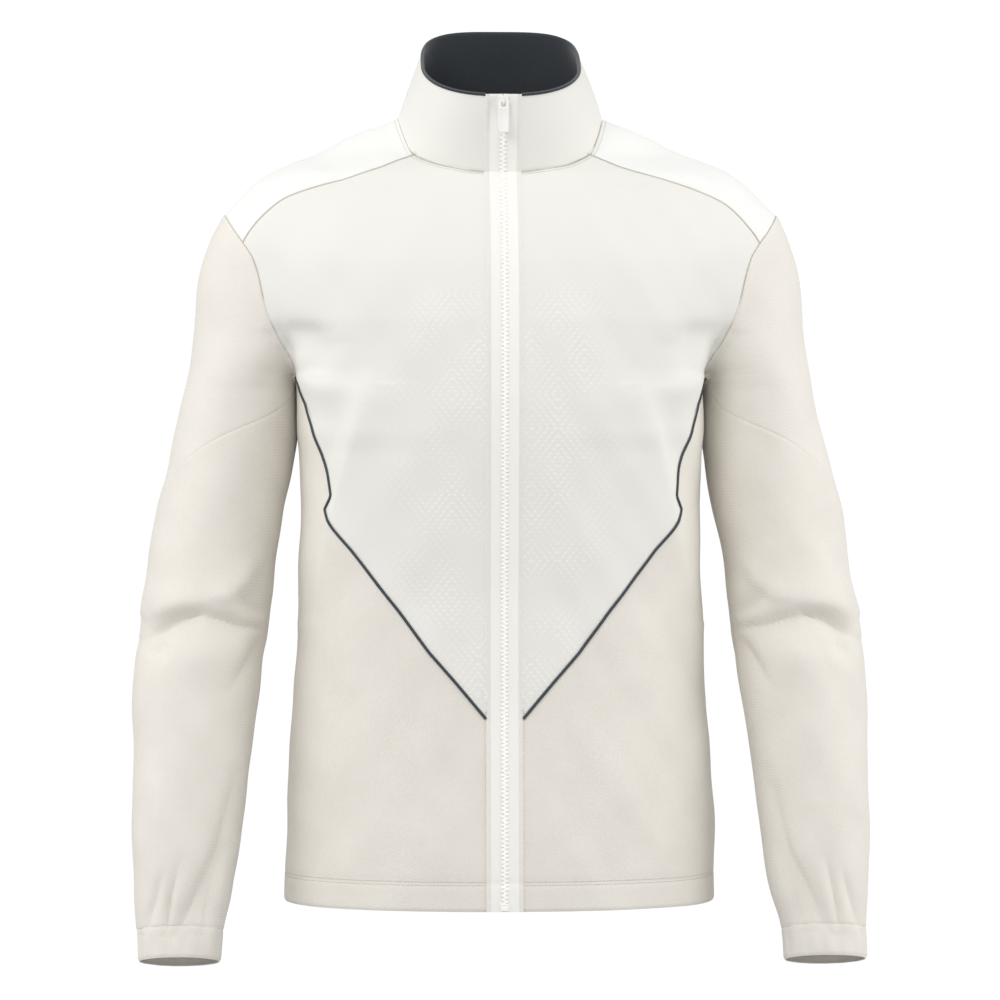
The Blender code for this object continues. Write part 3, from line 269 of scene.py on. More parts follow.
def distanceTo(place, points):
    size, fromMiddle = place(points)
    steepness = np.linalg.norm(slopeOf(lambda moved: place(moved)[0], points), axis=1)
    away = (size - 1) / np.maximum(steepness, 1e-6)
    level = fromMiddle * (1 - 1 / np.maximum(size, 0.05))
    return np.where(away > 0, np.maximum(away, form["levelShare"] * level), away)


def torsoDistance(points):
    return distanceTo(torsoPlace, points)


def armDistance(points):
    return distanceTo(armPlace, points)


def wholeDistance(points):
    body, sleeve = torsoDistance(points), armDistance(points)
    width = np.maximum(lookUp(softJoin, "width", points[:, 2]), 1e-6)
    near = np.maximum(width - np.abs(body - sleeve), 0) / width
    return np.minimum(body, sleeve) - near**2 * width / 4


def bodyDistance(points):
    return np.where(points[:, 2] < form["underarm"], torsoDistance(points), wholeDistance(points))


def sleeveDistance(points):
    return np.where(points[:, 2] < form["underarm"], armDistance(points), wholeDistance(points))


def onto(distance, points, rounds):
    points = points.copy()
    for _ in range(rounds):
        slope = slopeOf(distance, points)
        steep = np.maximum((slope**2).sum(axis=1), 0.05)
        points -= np.clip(distance(points) / steep, -0.04, 0.04)[:, None] * slope
    return points


def unit(vectors):
    return vectors / np.maximum(np.linalg.norm(vectors, axis=-1, keepdims=True), 1e-9)


def outward(distance, points):
    return unit(slopeOf(distance, points))


def whereLineMeets(distance, outside, inside):
    outside, inside = np.array(outside, float), np.array(inside, float)
    for _ in range(form["halvings"]):
        middle = (outside + inside) / 2
        within = (distance(middle) < 0)[:, None]
        inside = np.where(within, middle, inside)
        outside = np.where(within, outside, middle)
    return (outside + inside) / 2


def lengthAlong(points):
    return np.concatenate([[0], np.cumsum(np.linalg.norm(np.diff(points, axis=0), axis=1))])


def shareAlong(points):
    along = lengthAlong(points)
    return along / along[-1]


def spread(points, shares):
    along = lengthAlong(points)
    return np.stack([np.interp(shares * along[-1], along, points[:, axis]) for axis in range(3)], axis=1)


def onFace(face, across, heights):
    across, heights = np.asarray(across, float), np.asarray(heights, float)
    outside = np.stack([across, np.full(len(across), form["beyond"] * face), heights], axis=1)
    inside = np.stack([across, np.full(len(across), form["middle"]), heights], axis=1)
    return whereLineMeets(bodyDistance, outside, inside)


print("worn form ready")

# the seams, each worked out once on the +X side
seamSteps = {
    "yoke": 46,
    "armholeFront": 40,
    "shoulder": 38,
    "underarm": 22,
    "neckFront": 46,
    "neckBack": 34,
    "piped": 96,
    "zipLower": 44,
    "hemFold": (0.0007, 0.0022, 0.0175, 0.0195, 0.0212, 0.0228, 0.0245, 0.0265),
}
armhole = rowsTable(
    "height across",
    (
        (-0.0500, 0.2545),
        (-0.0666, 0.2490),
        (-0.0820, 0.2400),
        (-0.0958, 0.2305),
        (-0.1100, 0.2215),
        (-0.1322, 0.2146),
        (-0.1528, 0.2103),
        (-0.1680, 0.2046),
        (-0.1930, 0.1925),
        (-0.2060, 0.1850),
        (-0.2124, 0.1831),
        (-0.2600, 0.1831),
    ),
)
# the armhole's points are told by their turn round this middle, and reach is further out than any of them
armholeMiddle = {"y": 0.006, "height": -0.150, "reach": 0.16, "pipeTurn": 292.0, "sideTurn": 252.0}
yokeFront = rowsTable(
    "across height",
    (
        (0.0765, -0.0150),
        (0.1063, -0.0293),
        (0.1394, -0.0398),
        (0.1770, -0.0512),
        (0.1960, -0.0598),
        (0.2110, -0.0712),
        (0.2260, -0.0882),
        (0.2305, -0.0958),
    ),
)
yokeBack = rowsTable(
    "across height",
    ((0.0500, 0.0300), (0.0900, 0.0010), (0.1400, -0.0300), (0.1900, -0.0640), (0.2305, -0.0958)),
)
pipedSeam = (  # across and height, from under the arm, round the small hook, down the V to the zip
    (0.1805, -0.2200),
    (0.1740, -0.2386),
    (0.1685, -0.2590),
    (0.1625, -0.2792),
    (0.1562, -0.3000),
    (0.1500, -0.3205),
    (0.1562, -0.3325),
    (0.1470, -0.3493),
    (0.1330, -0.3677),
    (0.1170, -0.3895),
    (0.0916, -0.4218),
    (0.0652, -0.4576),
    (0.0420, -0.4840),
    (0.0158, -0.5153),
)
sideSeam = rowsTable("height y", ((-0.2600, 0.045), (-0.4000, 0.052), (-0.682, 0.056)))
sleeveSeam = rowsTable(  # 0 degrees is the side next to the torso, 90 in front, 180 the outside
    "degrees height",
    (
        (0, -0.2185),
        (23, -0.2270),
        (40, -0.2395),
        (56, -0.2475),
        (74, -0.2555),
        (85, -0.2600),
        (118, -0.2780),
        (158, -0.3080),
        (180, -0.3180),
    ),
)
neckPlan = {
    "halfWidth": 0.0918,
    "front": 0.0730,
    "back": 0.0660,
    "squareness": 2.2,
    "reach": 0.2,
    "lean": 0.999,
}
collar = {
    "halfWidth": 0.0712,
    "middle": -0.0200,
    "halfDepth": 0.0705,
    "height": 0.0653,
    "rise": 0.50,
    "frontSquareness": 2.4,
    "backSquareness": 3.4,
    "bulge": 0.0015,
    "rows": 20,
    "length": 0.066,
    "ripple": 0.0005,  # faint ripples round it, none beside the zip
    "rippleTurn": 60,
    "calmWidth": 0.03,
    "cloth": 0.0013,
    "facingCloth": 0.0008,
    "facingGap": 0.0019,
    "lip": 0.0019,
}
cuff = {
    "height": 0.027,
    "tilt": 0.21,
    "seam": -0.7035,
    "rows": 14,
    "waves": 0.0009,  # how deep the elastic's gathers are, and how many go round
    "waveCount": 15,
    "waveWander": 1.3,
}
zipPlan = {
    "halfWidth": 0.0158,
    "riseShare": 0.4,  # how far the zip's edge is shared out by height, and the rest by length
    "sinkShare": 0.5,  # the same for the side seam
    "foldClear": 0.0009,
}


def denseShares(steps, length, first=0.0007, second=0.0020):
    inner = np.linspace(0, 1, steps + 1)
    near = np.array([first, second]) / length
    kept = inner[(inner > near[1] * 1.4) & (inner < 1 - near[1] * 1.4)]
    return np.concatenate([[0], near, kept, 1 - near[::-1], [1]])


def seamLine(points, steps):
    return spread(points, denseShares(steps, lengthAlong(points)[-1]))


def faceSeam(face, seam, steps):
    across = np.linspace(seam["across"][0], seam["across"][-1], 6 * steps)
    return seamLine(onFace(face, across, lookUp(seam, "height", across)), steps)


def armholePoint(degrees):
    turn = np.radians(degrees)
    near, far = np.zeros(len(turn)), np.full(len(turn), armholeMiddle["reach"])
    for _ in range(form["halvings"]):
        middle = (near + far) / 2
        height = armholeMiddle["height"] + middle * np.sin(turn)
        y = armholeMiddle["y"] - middle * np.cos(turn)
        points = np.stack([lookUp(armhole, "across", height), y, height], axis=1)
        within = wholeDistance(points) < 0
        near = np.where(within, middle, near)
        far = np.where(within, far, middle)
    return points


def armholeTurn(point):
    rise, forwards = point[2] - armholeMiddle["height"], armholeMiddle["y"] - point[1]
    return math.degrees(math.atan2(rise, forwards)) % 360


def armholeStretch(start, end, steps):
    return seamLine(armholePoint(np.linspace(start, end, 6 * steps)), steps)


def neckAcross(turns):
    return neckPlan["halfWidth"] * np.abs(np.sin(np.radians(turns))) ** (2 / neckPlan["squareness"])


def neckRing(turns):
    turn = np.radians(turns)
    depth = np.where(np.cos(turn) > 0, neckPlan["front"], neckPlan["back"])
    across = neckAcross(turns)
    y = -depth * np.sign(np.cos(turn)) * np.abs(np.cos(turn)) ** (2 / neckPlan["squareness"])
    reach = np.full(len(turn), neckPlan["reach"])
    outside = np.stack([across, y, reach], axis=1)
    inside = np.stack([across, y * neckPlan["lean"], -reach], axis=1)
    return whereLineMeets(torsoDistance, outside, inside)


def neckStretch(start, end, steps):
    return seamLine(neckRing(np.linspace(start, end, 6 * steps)), steps)


def turnAt(target, low, high):
    turns = np.linspace(low, high, 4001)
    return turns[np.argmin(np.abs(neckAcross(turns) - target))]


def armSection(heights, degrees):
    turn = np.radians(degrees)
    read = lookUpAll(arm, heights)
    power = 2 / read["squareness"]
    centre, halfWidth = (read["outer"] + read["inner"]) / 2, (read["outer"] - read["inner"]) / 2
    across = centre - halfWidth * np.sign(np.cos(turn)) * np.abs(np.cos(turn)) ** power
    y = read["middle"] - read["halfDepth"] * np.sign(np.sin(turn)) * np.abs(np.sin(turn)) ** power
    return np.stack([across, y, heights], axis=1)


def sleeveSeamHeight(degrees):
    return lookUp(sleeveSeam, "height", 180 - np.abs(180 - np.mod(degrees, 360)))


def cuffHeight(degrees, offset=0.0):
    middle, deep = lookUp(arm, "middle", cuff["seam"]), lookUp(arm, "halfDepth", cuff["seam"])
    y = middle - deep * np.sin(np.radians(degrees))
    return cuff["seam"] + offset - cuff["tilt"] * (y - middle)


def sideLine(heights, start):
    y = lookUp(sideSeam, "y", heights)
    share = np.clip((start[2] - heights) / form["sideEase"], 0, 1)
    y = start[1] + (y - start[1]) * share * share * (3 - 2 * share)
    outside = np.stack([np.full(len(heights), form["beyond"]), y, heights], axis=1)
    inside = np.stack([np.zeros(len(heights)), y, heights], axis=1)
    line = whereLineMeets(torsoDistance, outside, inside)
    line[0] = start
    return line


def levelRing(turn, height):
    flat, far = np.zeros(len(turn)), form["beyond"]
    outside = np.stack([far * np.sin(turn), -far * np.cos(turn), flat + height], axis=1)
    return whereLineMeets(torsoDistance, outside, np.stack([flat, flat, flat + height], axis=1))


def hemStretch(start, end, steps):
    turn = np.linspace(math.atan2(start[0], -start[1]), math.atan2(end[0], -end[1]), 6 * steps)
    return seamLine(levelRing(turn, form["hem"]), steps)


def makeSeams():
    steps, seams = seamSteps, {}
    seams["yokeFront"] = faceSeam(-1, yokeFront, steps["yoke"])
    seams["yokeBack"] = faceSeam(1, yokeBack, steps["yoke"])
    frontTurn, backTurn = armholeTurn(seams["yokeFront"][-1]), armholeTurn(seams["yokeBack"][-1])
    pipeTurn, sideTurn = armholeMiddle["pipeTurn"], armholeMiddle["sideTurn"]
    seams["armholeTop"] = armholeStretch(frontTurn, backTurn, steps["shoulder"])
    seams["armholeFront"] = armholeStretch(pipeTurn - 360, frontTurn, steps["armholeFront"])
    seams["armholeBack"] = armholeStretch(backTurn, sideTurn, steps["armholeFront"])
    seams["underarm"] = armholeStretch(sideTurn, pipeTurn, steps["underarm"])
    seams["yokeFront"][-1] = seams["armholeFront"][-1] = seams["armholeTop"][0]
    seams["yokeBack"][-1] = seams["armholeBack"][0] = seams["armholeTop"][-1]

    zipTurn = turnAt(zipPlan["halfWidth"], 0, 90)
    frontAt, backAt = turnAt(yokeFront["across"][0], 0, 90), turnAt(yokeBack["across"][0], 90, 180)
    seams["neckFront"] = neckStretch(zipTurn, frontAt, steps["neckFront"])
    seams["neckSide"] = neckStretch(frontAt, backAt, steps["shoulder"])
    seams["neckBack"] = neckStretch(backAt, 180, steps["neckBack"])
    seams["yokeFront"][0] = seams["neckSide"][0] = seams["neckFront"][-1]
    seams["yokeBack"][0] = seams["neckBack"][0] = seams["neckSide"][-1]

    corners = onFace(-1, [place[0] for place in pipedSeam], [place[1] for place in pipedSeam])
    corners = np.vstack([seams["armholeFront"][:1], corners])
    piped = seamLine(corners, steps["piped"])
    piped = onto(bodyDistance, piped, 3)
    piped[0], piped[-1] = corners[0], corners[-1]
    seams["piped"] = piped
    seams["underarm"][-1] = piped[0]

    right = np.vstack([piped[::-1], seams["armholeFront"][1:], seams["yokeFront"][::-1][1:]])
    tip, neckHeight = piped[-1], seams["neckFront"][0][2]
    risen = np.maximum.accumulate((right[:, 2] - tip[2]) / (right[-1, 2] - tip[2]))
    part = zipPlan["riseShare"] * risen + (1 - zipPlan["riseShare"]) * shareAlong(right)
    heights = tip[2] + part * (neckHeight - tip[2])
    seams["zipUpper"] = onFace(-1, np.full(len(heights), zipPlan["halfWidth"]), heights)
    seams["zipUpper"][0], seams["zipUpper"][-1] = tip, seams["neckFront"][0]
    seams["chestEdge"] = right

    lower = np.linspace(tip[2], form["hem"], steps["zipLower"] + 1)
    fold = np.array([form["hem"] + step for step in seamSteps["hemFold"]])
    clear = np.abs(lower[:-1, None] - fold[None]).min(axis=1) > zipPlan["foldClear"]
    lower = np.concatenate([np.sort(np.concatenate([lower[:-1][clear], fold]))[::-1], lower[-1:]])
    seams["zipLower"] = onFace(-1, np.full(len(lower), zipPlan["halfWidth"]), lower)
    seams["zipLower"][0] = tip

    left = np.vstack([piped, seams["zipLower"][1:]])
    top = seams["underarm"][0][2]
    sunk = np.maximum.accumulate((left[0, 2] - left[:, 2]) / (left[0, 2] - form["hem"]))
    part = zipPlan["sinkShare"] * sunk + (1 - zipPlan["sinkShare"]) * shareAlong(left)
    heights = top + part * (form["hem"] - top)
    seams["lowerEdge"] = left
    seams["side"] = sideLine(np.minimum.accumulate(heights), seams["underarm"][0])
    return seams


seams = makeSeams()
print("seams ready")

# soft folds pressed into the cloth
softFolds = (
    # face (-1 in front, 1 behind, 0 both), fall-off above and below, depth inwards, how crisp (2 is soft and
    # less is sharper), side of the body (0 is both), and the line that it follows, as across and height
    (-1, 0.011, 0.018, 0.0078, 2, 0, ((0.158, -0.184), (0.177, -0.180), (0.194, -0.174))),
    (-1, 0.010, 0.010, 0.0040, 2, 0, ((0.162, -0.182), (0.164, -0.214))),
    (-1, 0.014, 0.014, -0.0030, 2, 0, ((0.200, -0.172), (0.214, -0.200), (0.220, -0.226))),
    (-1, 0.0080, 0.018, -0.0054, 1.3, 0, ((0.118, -0.222), (0.133, -0.272), (0.150, -0.340), (0.168, -0.432))),
    (-1, 0.012, 0.010, 0.0030, 2, 0, ((0.142, -0.222), (0.151, -0.272), (0.168, -0.326))),
    (-1, 0.020, 0.020, 0.0020, 2, 1, ((0.150, -0.446), (0.182, -0.506))),
    (-1, 0.030, 0.030, 0.0016, 2, -1, ((0.060, -0.560), (0.120, -0.600), (0.165, -0.640))),
    (-1, 0.030, 0.030, -0.0014, 2, 1, ((0.075, -0.590), (0.150, -0.560))),
    # the elbow: a bright ridge over a sharp crease that rises to its middle
    (-1, 0.0050, 0.014, 0.0094, 1.25, 0, ((0.314, -0.446), (0.302, -0.438), (0.282, -0.428), (0.262, -0.4235))),
    (-1, 0.0050, 0.012, 0.0086, 1.25, 0, ((0.262, -0.425), (0.246, -0.429), (0.226, -0.435), (0.205, -0.438))),
    (-1, 0.018, 0.006, -0.0062, 2, 0, ((0.312, -0.4260), (0.286, -0.4165), (0.262, -0.4130))),
    (-1, 0.010, 0.008, -0.0044, 2, 0, ((0.254, -0.4150), (0.234, -0.4000), (0.218, -0.3760))),
    (-1, 0.008, 0.007, 0.0056, 1.4, 0, ((0.236, -0.4020), (0.222, -0.4170), (0.208, -0.4260))),
    (-1, 0.007, 0.009, 0.0050, 2, 0, ((0.300, -0.4480), (0.308, -0.4660))),
    (-1, 0.006, 0.011, 0.0058, 1.3, 0, ((0.208, -0.4440), (0.222, -0.4620), (0.238, -0.4880))),
    (-1, 0.014, 0.018, -0.0032, 2, 0, ((0.282, -0.4560), (0.262, -0.4620), (0.236, -0.4560))),
    (-1, 0.020, 0.020, 0.0012, 2, 0, ((0.296, -0.3300), (0.288, -0.3700))),
    # gathers above the cuff
    (-1, 0.0070, 0.0080, 0.0060, 1.3, 0, ((0.236, -0.565), (0.247, -0.620), (0.262, -0.668), (0.272, -0.702))),
    (-1, 0.0042, 0.0050, 0.0042, 1.4, 0, ((0.244, -0.630), (0.257, -0.676), (0.262, -0.702))),
    (-1, 0.0050, 0.0060, 0.0060, 1.3, 0, ((0.256, -0.640), (0.274, -0.678), (0.286, -0.704))),
    (-1, 0.0046, 0.0056, 0.0052, 1.3, 0, ((0.284, -0.640), (0.292, -0.676), (0.296, -0.704))),
    (-1, 0.0044, 0.0052, 0.0046, 1.3, 0, ((0.298, -0.650), (0.307, -0.680), (0.314, -0.704))),
    (-1, 0.016, 0.016, -0.0024, 2, 0, ((0.300, -0.560), (0.290, -0.640))),
    # soft waves down the cuff
    (0, 0.0034, 0.0034, 0.0012, 2, 0, ((0.2660, -0.700), (0.2665, -0.734))),
    (0, 0.0040, 0.0040, 0.0014, 2, 0, ((0.2810, -0.700), (0.2815, -0.734))),
    (0, 0.0034, 0.0034, 0.0012, 2, 0, ((0.2960, -0.700), (0.2965, -0.734))),
    (0, 0.0030, 0.0030, 0.0010, 2, 0, ((0.3080, -0.700), (0.3085, -0.734))),
    # hidden side: similar creases
    (1, 0.008, 0.012, 0.0050, 2, 0, ((0.316, -0.404), (0.286, -0.420), (0.250, -0.432))),
    (1, 0.010, 0.014, 0.0040, 2, 0, ((0.300, -0.452), (0.266, -0.462), (0.232, -0.458))),
    (1, 0.010, 0.010, -0.0030, 2, 0, ((0.300, -0.432), (0.262, -0.444))),
    (1, 0.006, 0.007, 0.0028, 2, 0, ((0.246, -0.590), (0.256, -0.650), (0.268, -0.702))),
    (1, 0.006, 0.006, 0.0026, 2, 0, ((0.300, -0.620), (0.294, -0.702))),
    (1, 0.004, 0.005, 0.0022, 2, 0, ((0.278, -0.660), (0.281, -0.702))),
    (1, 0.015, 0.015, 0.0054, 2, 0, ((0.172, -0.172), (0.190, -0.152), (0.206, -0.124))),
    (1, 0.018, 0.018, 0.0034, 2, 0, ((0.150, -0.230), (0.128, -0.290), (0.120, -0.360))),
    (1, 0.014, 0.022, 0.0052, 2, 0, ((0.060, -0.352), (0.110, -0.372), (0.156, -0.412))),
    (1, 0.014, 0.022, 0.0046, 2, 0, ((0.050, -0.452), (0.100, -0.448), (0.146, -0.466))),
    (1, 0.018, 0.018, -0.0020, 2, 0, ((0.070, -0.402), (0.140, -0.438))),
)
foldShape = {
    "armFrom": 0.2,  # across, where the cloth in front and behind is the sleeve's
    "reach": 3,  # fall-offs, past which a fold isn't felt
    "lean": 1e-3,
    "tip": 0.02,
    "endShare": 0.25,  # of the depth, left at a fold's two ends
    "turnWidth": 0.03,  # over which a fold fades on its way round to the other face
    "calmFrom": 0.016,  # the zip holds its edges straight
    "calmWidth": 0.05,
    "hemTo": 0.21,
}
hemStitch = {"height": 0.0246, "apart": 0.0030, "groove": 0.0006, "grooveWidth": 0.0028}
waves = (
    # size of the wave in metres, how deep, and a turn of its phase: faint unevenness all over
    {"size": (0.110, 0.150), "depth": 0.0007, "phase": 0.4},
    {"size": (0.067, -0.093), "depth": 0.0004, "phase": 2.1},
    {"size": (0.041, 0.058), "depth": 0.00022, "phase": 4.0},
)


def foldLine(line):
    points = np.array(line)
    knots = np.linspace(0, 1, len(points))
    at = np.linspace(0, 1, 6 * len(points))
    if len(points) < 3:
        return np.stack([np.interp(at, knots, points[:, axis]) for axis in (0, 1)], axis=1)
    return np.stack([curveValue(knots, points[:, axis], at) for axis in (0, 1)], axis=1)


def foldDepth(points):
    across, height = np.abs(points[:, 0]), points[:, 2]
    place = np.stack([across, height], axis=1)
    inwards = np.zeros(len(points))
    middle = np.where(across > foldShape["armFrom"], lookUp(arm, "middle", height), 0.0)
    for face, up, down, depth, crisp, side, line in softFolds:
        line = foldLine(line)
        reach = foldShape["reach"] * max(up, down)
        low, high = line.min(axis=0) - reach, line.max(axis=0) + reach
        near = np.nonzero(((place > low) & (place < high)).all(axis=1))[0]
        if len(near) == 0:
            continue
        best = np.full(len(near), np.inf)
        signed, share = np.zeros(len(near)), np.zeros(len(near))
        for count, (start, end) in enumerate(zip(line[:-1], line[1:])):
            run = end - start
            offset = place[near] - start
            part = np.clip(offset @ run / (run @ run), 0, 1)
            gap = offset - part[:, None] * run
            away = np.hypot(gap[:, 0], gap[:, 1])
            closer = away < best
            best = np.where(closer, away, best)
            signed = np.where(closer, gap[:, 1] + gap[:, 0] * foldShape["lean"], signed)
            share = np.where(closer, (count + part) / (len(line) - 1), share)
        width = np.where(signed > 0, up, down)
        bow = np.sin(np.pi * np.clip(share, foldShape["tip"], 1 - foldShape["tip"])) ** 0.8
        taper = foldShape["endShare"] + (1 - foldShape["endShare"]) * bow
        facing = np.clip(0.5 + face * (points[near, 1] - middle[near]) / foldShape["turnWidth"], 0, 1)
        if side:
            facing = facing * (points[near, 0] * side > 0)
        inwards[near] += facing * depth * taper * np.exp(-((best / width) ** crisp))
    calm = np.clip((across - foldShape["calmFrom"]) / foldShape["calmWidth"], 0, 1)
    for wave in waves:
        turn = points[:, 0] / wave["size"][0] + height / wave["size"][1] + points[:, 1] * 4
        inwards += calm * wave["depth"] * np.sin(2 * np.pi * turn + wave["phase"])
    groove = (height - form["hem"] - hemStitch["height"]) / hemStitch["grooveWidth"]
    inwards += np.where(across < foldShape["hemTo"], hemStitch["groove"], 0) * np.exp(-(groove**2))
    return inwards


# cloth panels
panel = {
    "cloth": 0.0013,
    "edgeRoll": 0.0006,  # how far a seam's edge turns in, and over what width
    "rollWidth": 0.0013,
    "hemRoll": 0.0011,
    "seamBack": 0.00028,
    "weld": 0.00002,
}
relaxing = {
    "edge": 0.003,  # nothing moves nearer to a seam
    "softShare": 0.3,
    "turns": 60,
    "chest": ((0.165, -0.050, -0.212), 0.150),  # the place that is evened out, and how far from it
    "back": ((0.125, 0.100, -0.2135), 0.085),
    "yoke": ((0.200, 0.008, -0.034), 0.070),
}
easing = {
    "edge": 0.030,  # nothing moves at a seam, and all of it this far away
    "from": 0.085,  # across
    "fromWidth": 0.02,
    "reach": 0.045,  # above and below the underarm
    "blur": 0.020,
    "blurSteps": 9,
    "castFrom": 0.12,
    "faceFrom": 0.02,  # how far in front or behind the cloth has to be
    "band": 0.030,
    "bandEdge": (0.0025, 0.008),
    "turns": 500,
    "rate": 0.6,
}


def runs(net, axis):
    gaps = np.linalg.norm(np.diff(net, axis=axis), axis=-1)
    start = np.zeros_like(np.take(gaps, [0], axis=axis))
    return np.cumsum(np.concatenate([start, gaps], axis=axis), axis=axis)


def edgeDistance(net):
    along, up = runs(net, 1), runs(net, 0)
    return np.minimum(np.minimum(along, along[:, -1:] - along), np.minimum(up, up[-1:] - up))


def patchNet(bottom, top, left, right):
    across = shareAlong(bottom if lengthAlong(bottom)[-1] > 0 else top)[None, :, None]
    up = (0.5 * (shareAlong(left) + shareAlong(right)))[:, None, None]
    risen = (1 - up) * bottom[None] + up * top[None]
    crossed = (1 - across) * left[:, None] + across * right[:, None]
    low = (1 - across) * bottom[0] + across * bottom[-1]
    high = (1 - across) * top[0] + across * top[-1]
    return risen + crossed - ((1 - up) * low + up * high)


def laidOn(distance, net, rounds=7):
    inside = net[1:-1, 1:-1]
    net[1:-1, 1:-1] = onto(distance, inside.reshape(-1, 3), rounds).reshape(inside.shape)
    return net


def relaxed(net, name, sign=1):
    # evens out the net where a sharp corner of its edge, or the top of the arm, crowds the points
    centre, reach = relaxing[name]
    away = np.linalg.norm(net - onSide(np.array(centre), sign), axis=-1)
    near = np.clip((reach - away) / (relaxing["softShare"] * reach), 0, 1)
    part = (near * np.clip(edgeDistance(net) / relaxing["edge"] - 0.5, 0, 1))[1:-1, 1:-1, None]
    for _ in range(relaxing["turns"]):
        middle = (net[:-2, 1:-1] + net[2:, 1:-1] + net[1:-1, :-2] + net[1:-1, 2:]) / 4
        net[1:-1, 1:-1] += part * (middle - net[1:-1, 1:-1])
    return net


def netNormals(net):
    return unit(np.cross(np.gradient(net, axis=1), np.gradient(net, axis=0)))


def eased(distance, net, face):
    # smooths the step that the arm makes in the body under the armhole, away from the seams
    edge = edgeDistance(net)
    sunk, across = np.abs(net[..., 2] - form["underarm"]), np.abs(net[..., 0])
    share = np.clip(edge / easing["edge"], 0, 1)
    share = share * np.clip((across - easing["from"]) / easing["fromWidth"], 0, 1)
    share = share * np.clip(1 - sunk / easing["reach"], 0, 1) ** 0.5
    rows, columns = np.nonzero((share > 0) & (net[..., 1] * face > easing["faceFrom"]))
    points = net[rows, columns]
    steps = np.linspace(-1, 1, easing["blurSteps"]) * easing["blur"]
    weights = np.exp(-((steps / easing["blur"] * 1.5) ** 2))
    depth = np.zeros(len(points))
    for step, weight in zip(steps, weights / weights.sum()):
        far = points + np.array([0, face * easing["castFrom"], step])
        near = np.stack([points[:, 0], points[:, 1] * 0, points[:, 2] + step], axis=1)
        depth += weight * whereLineMeets(distance, far, near)[:, 1]
    part = share[rows, columns]
    net[rows, columns, 1] = (1 - part) * points[:, 1] + part * depth

    start, width = easing["bandEdge"]
    band = np.clip(1.5 - sunk / easing["band"], 0, 1) * np.clip((edge - start) / width, 0, 1)
    band = (band * (net[..., 1] * face > easing["faceFrom"]))[1:-1]
    gaps = np.linalg.norm(np.diff(net[..., [0, 2]], axis=0), axis=-1) + 1e-6
    before, after = gaps[:-1], gaps[1:]
    for _ in range(easing["turns"]):
        middle = (net[:-2, :, 1] * after + net[2:, :, 1] * before) / (before + after)
        net[1:-1, :, 1] += easing["rate"] * band * (middle - net[1:-1, :, 1])
    return net


def finished(distance, net, rolls, gapped, ownNormals=False):
    alongRows, alongColumns = runs(net, 1), runs(net, 0)
    away = {
        "left": alongRows,
        "right": alongRows[:, -1:] - alongRows,
        "bottom": alongColumns,
        "top": alongColumns[-1:] - alongColumns,
    }
    flat = net.reshape(-1, 3)
    normals = outward(distance, flat)
    if ownNormals:
        own = netNormals(net).reshape(-1, 3)
        normals = own * np.sign((own * normals).sum())
    depth = foldDepth(flat)
    for edge, size in rolls.items():
        depth = depth + size * np.exp(-((away[edge].reshape(-1) / panel["rollWidth"]) ** 2))
    moved = (flat - normals * depth[:, None]).reshape(net.shape)
    back = panel["seamBack"]
    for edge in gapped:
        at, after = (0, 1) if edge in ("bottom", "left") else (-1, -2)
        if edge in ("bottom", "top"):
            moved[at] += back * unit(moved[after] - moved[at])
        else:
            moved[:, at] += back * unit(moved[:, after] - moved[:, at])
    return moved


def meshPiece(name, points, faces, material, uvs=None):
    data = bpy.data.meshes.new(name)
    data.from_pydata(points.tolist(), [], faces.tolist())
    if uvs is not None:
        data.uv_layers.new(name="clothPlan").data.foreach_set("uv", uvs.reshape(-1))
    data.update()
    return placed(name, data, material)


def placed(name, data, material):
    piece = bpy.data.objects.new(name, data)
    bpy.context.scene.collection.objects.link(piece)
    data.materials.append(material)
    return piece


def select(*pieces):
    bpy.ops.object.select_all(action="DESELECT")
    for piece in pieces:
        piece.select_set(True)
    bpy.context.view_layer.objects.active = pieces[0]


def smoothUpTo(piece, degrees):
    select(piece)
    bpy.ops.object.shade_smooth_by_angle(angle=math.radians(degrees))


def reshaped(piece, change):
    mesh = bmesh.new()
    mesh.from_mesh(piece.data)
    change(mesh)
    mesh.to_mesh(piece.data)
    mesh.free()


def applied(piece, name, kind, settings):
    select(piece)
    modifier = piece.modifiers.new(name, kind)
    for setting, value in settings.items():
        setattr(modifier, setting, value)
    bpy.ops.object.modifier_apply(modifier=modifier.name)


def gridFaces(rows, columns, closed):
    number = np.arange(rows * columns).reshape(rows, columns)
    left, right = (number, np.roll(number, -1, axis=1)) if closed else (number[:, :-1], number[:, 1:])
    return np.stack([left[:-1], right[:-1], right[1:], left[1:]], axis=-1).reshape(-1, 4)


def clothPiece(name, net, material, thickness=None, closed=False, turned=False):
    faces = gridFaces(*net.shape[:2], closed)
    ring = closedRing(net, closed)
    across, up = runs(ring, 1), runs(ring, 0)
    across = across - (0 if closed else across[:, -1:] / 2)
    plan = np.stack([across, up], axis=-1)
    uvs = np.stack([plan[:-1, :-1], plan[:-1, 1:], plan[1:, 1:], plan[1:, :-1]], axis=2).reshape(-1, 4, 2)
    if turned:
        faces, uvs = faces[:, ::-1], uvs[:, ::-1]
    piece = meshPiece(name, net.reshape(-1, 3), faces, material, np.ascontiguousarray(uvs))
    reshaped(piece, lambda mesh: bmesh.ops.remove_doubles(mesh, verts=mesh.verts, dist=panel["weld"]))
    applied(piece, "clothThickness", "SOLIDIFY", {"thickness": thickness or panel["cloth"], "offset": -1})
    smoothUpTo(piece, 50)
    return piece


def closedRing(net, closed):
    return np.concatenate([net, net[:, :1]], axis=1) if closed else net


def mirrored(points):
    return points * np.array([-1, 1, 1])


def onSide(points, sign):
    return points if sign > 0 else mirrored(points)


print("cloth tools ready")

# materials


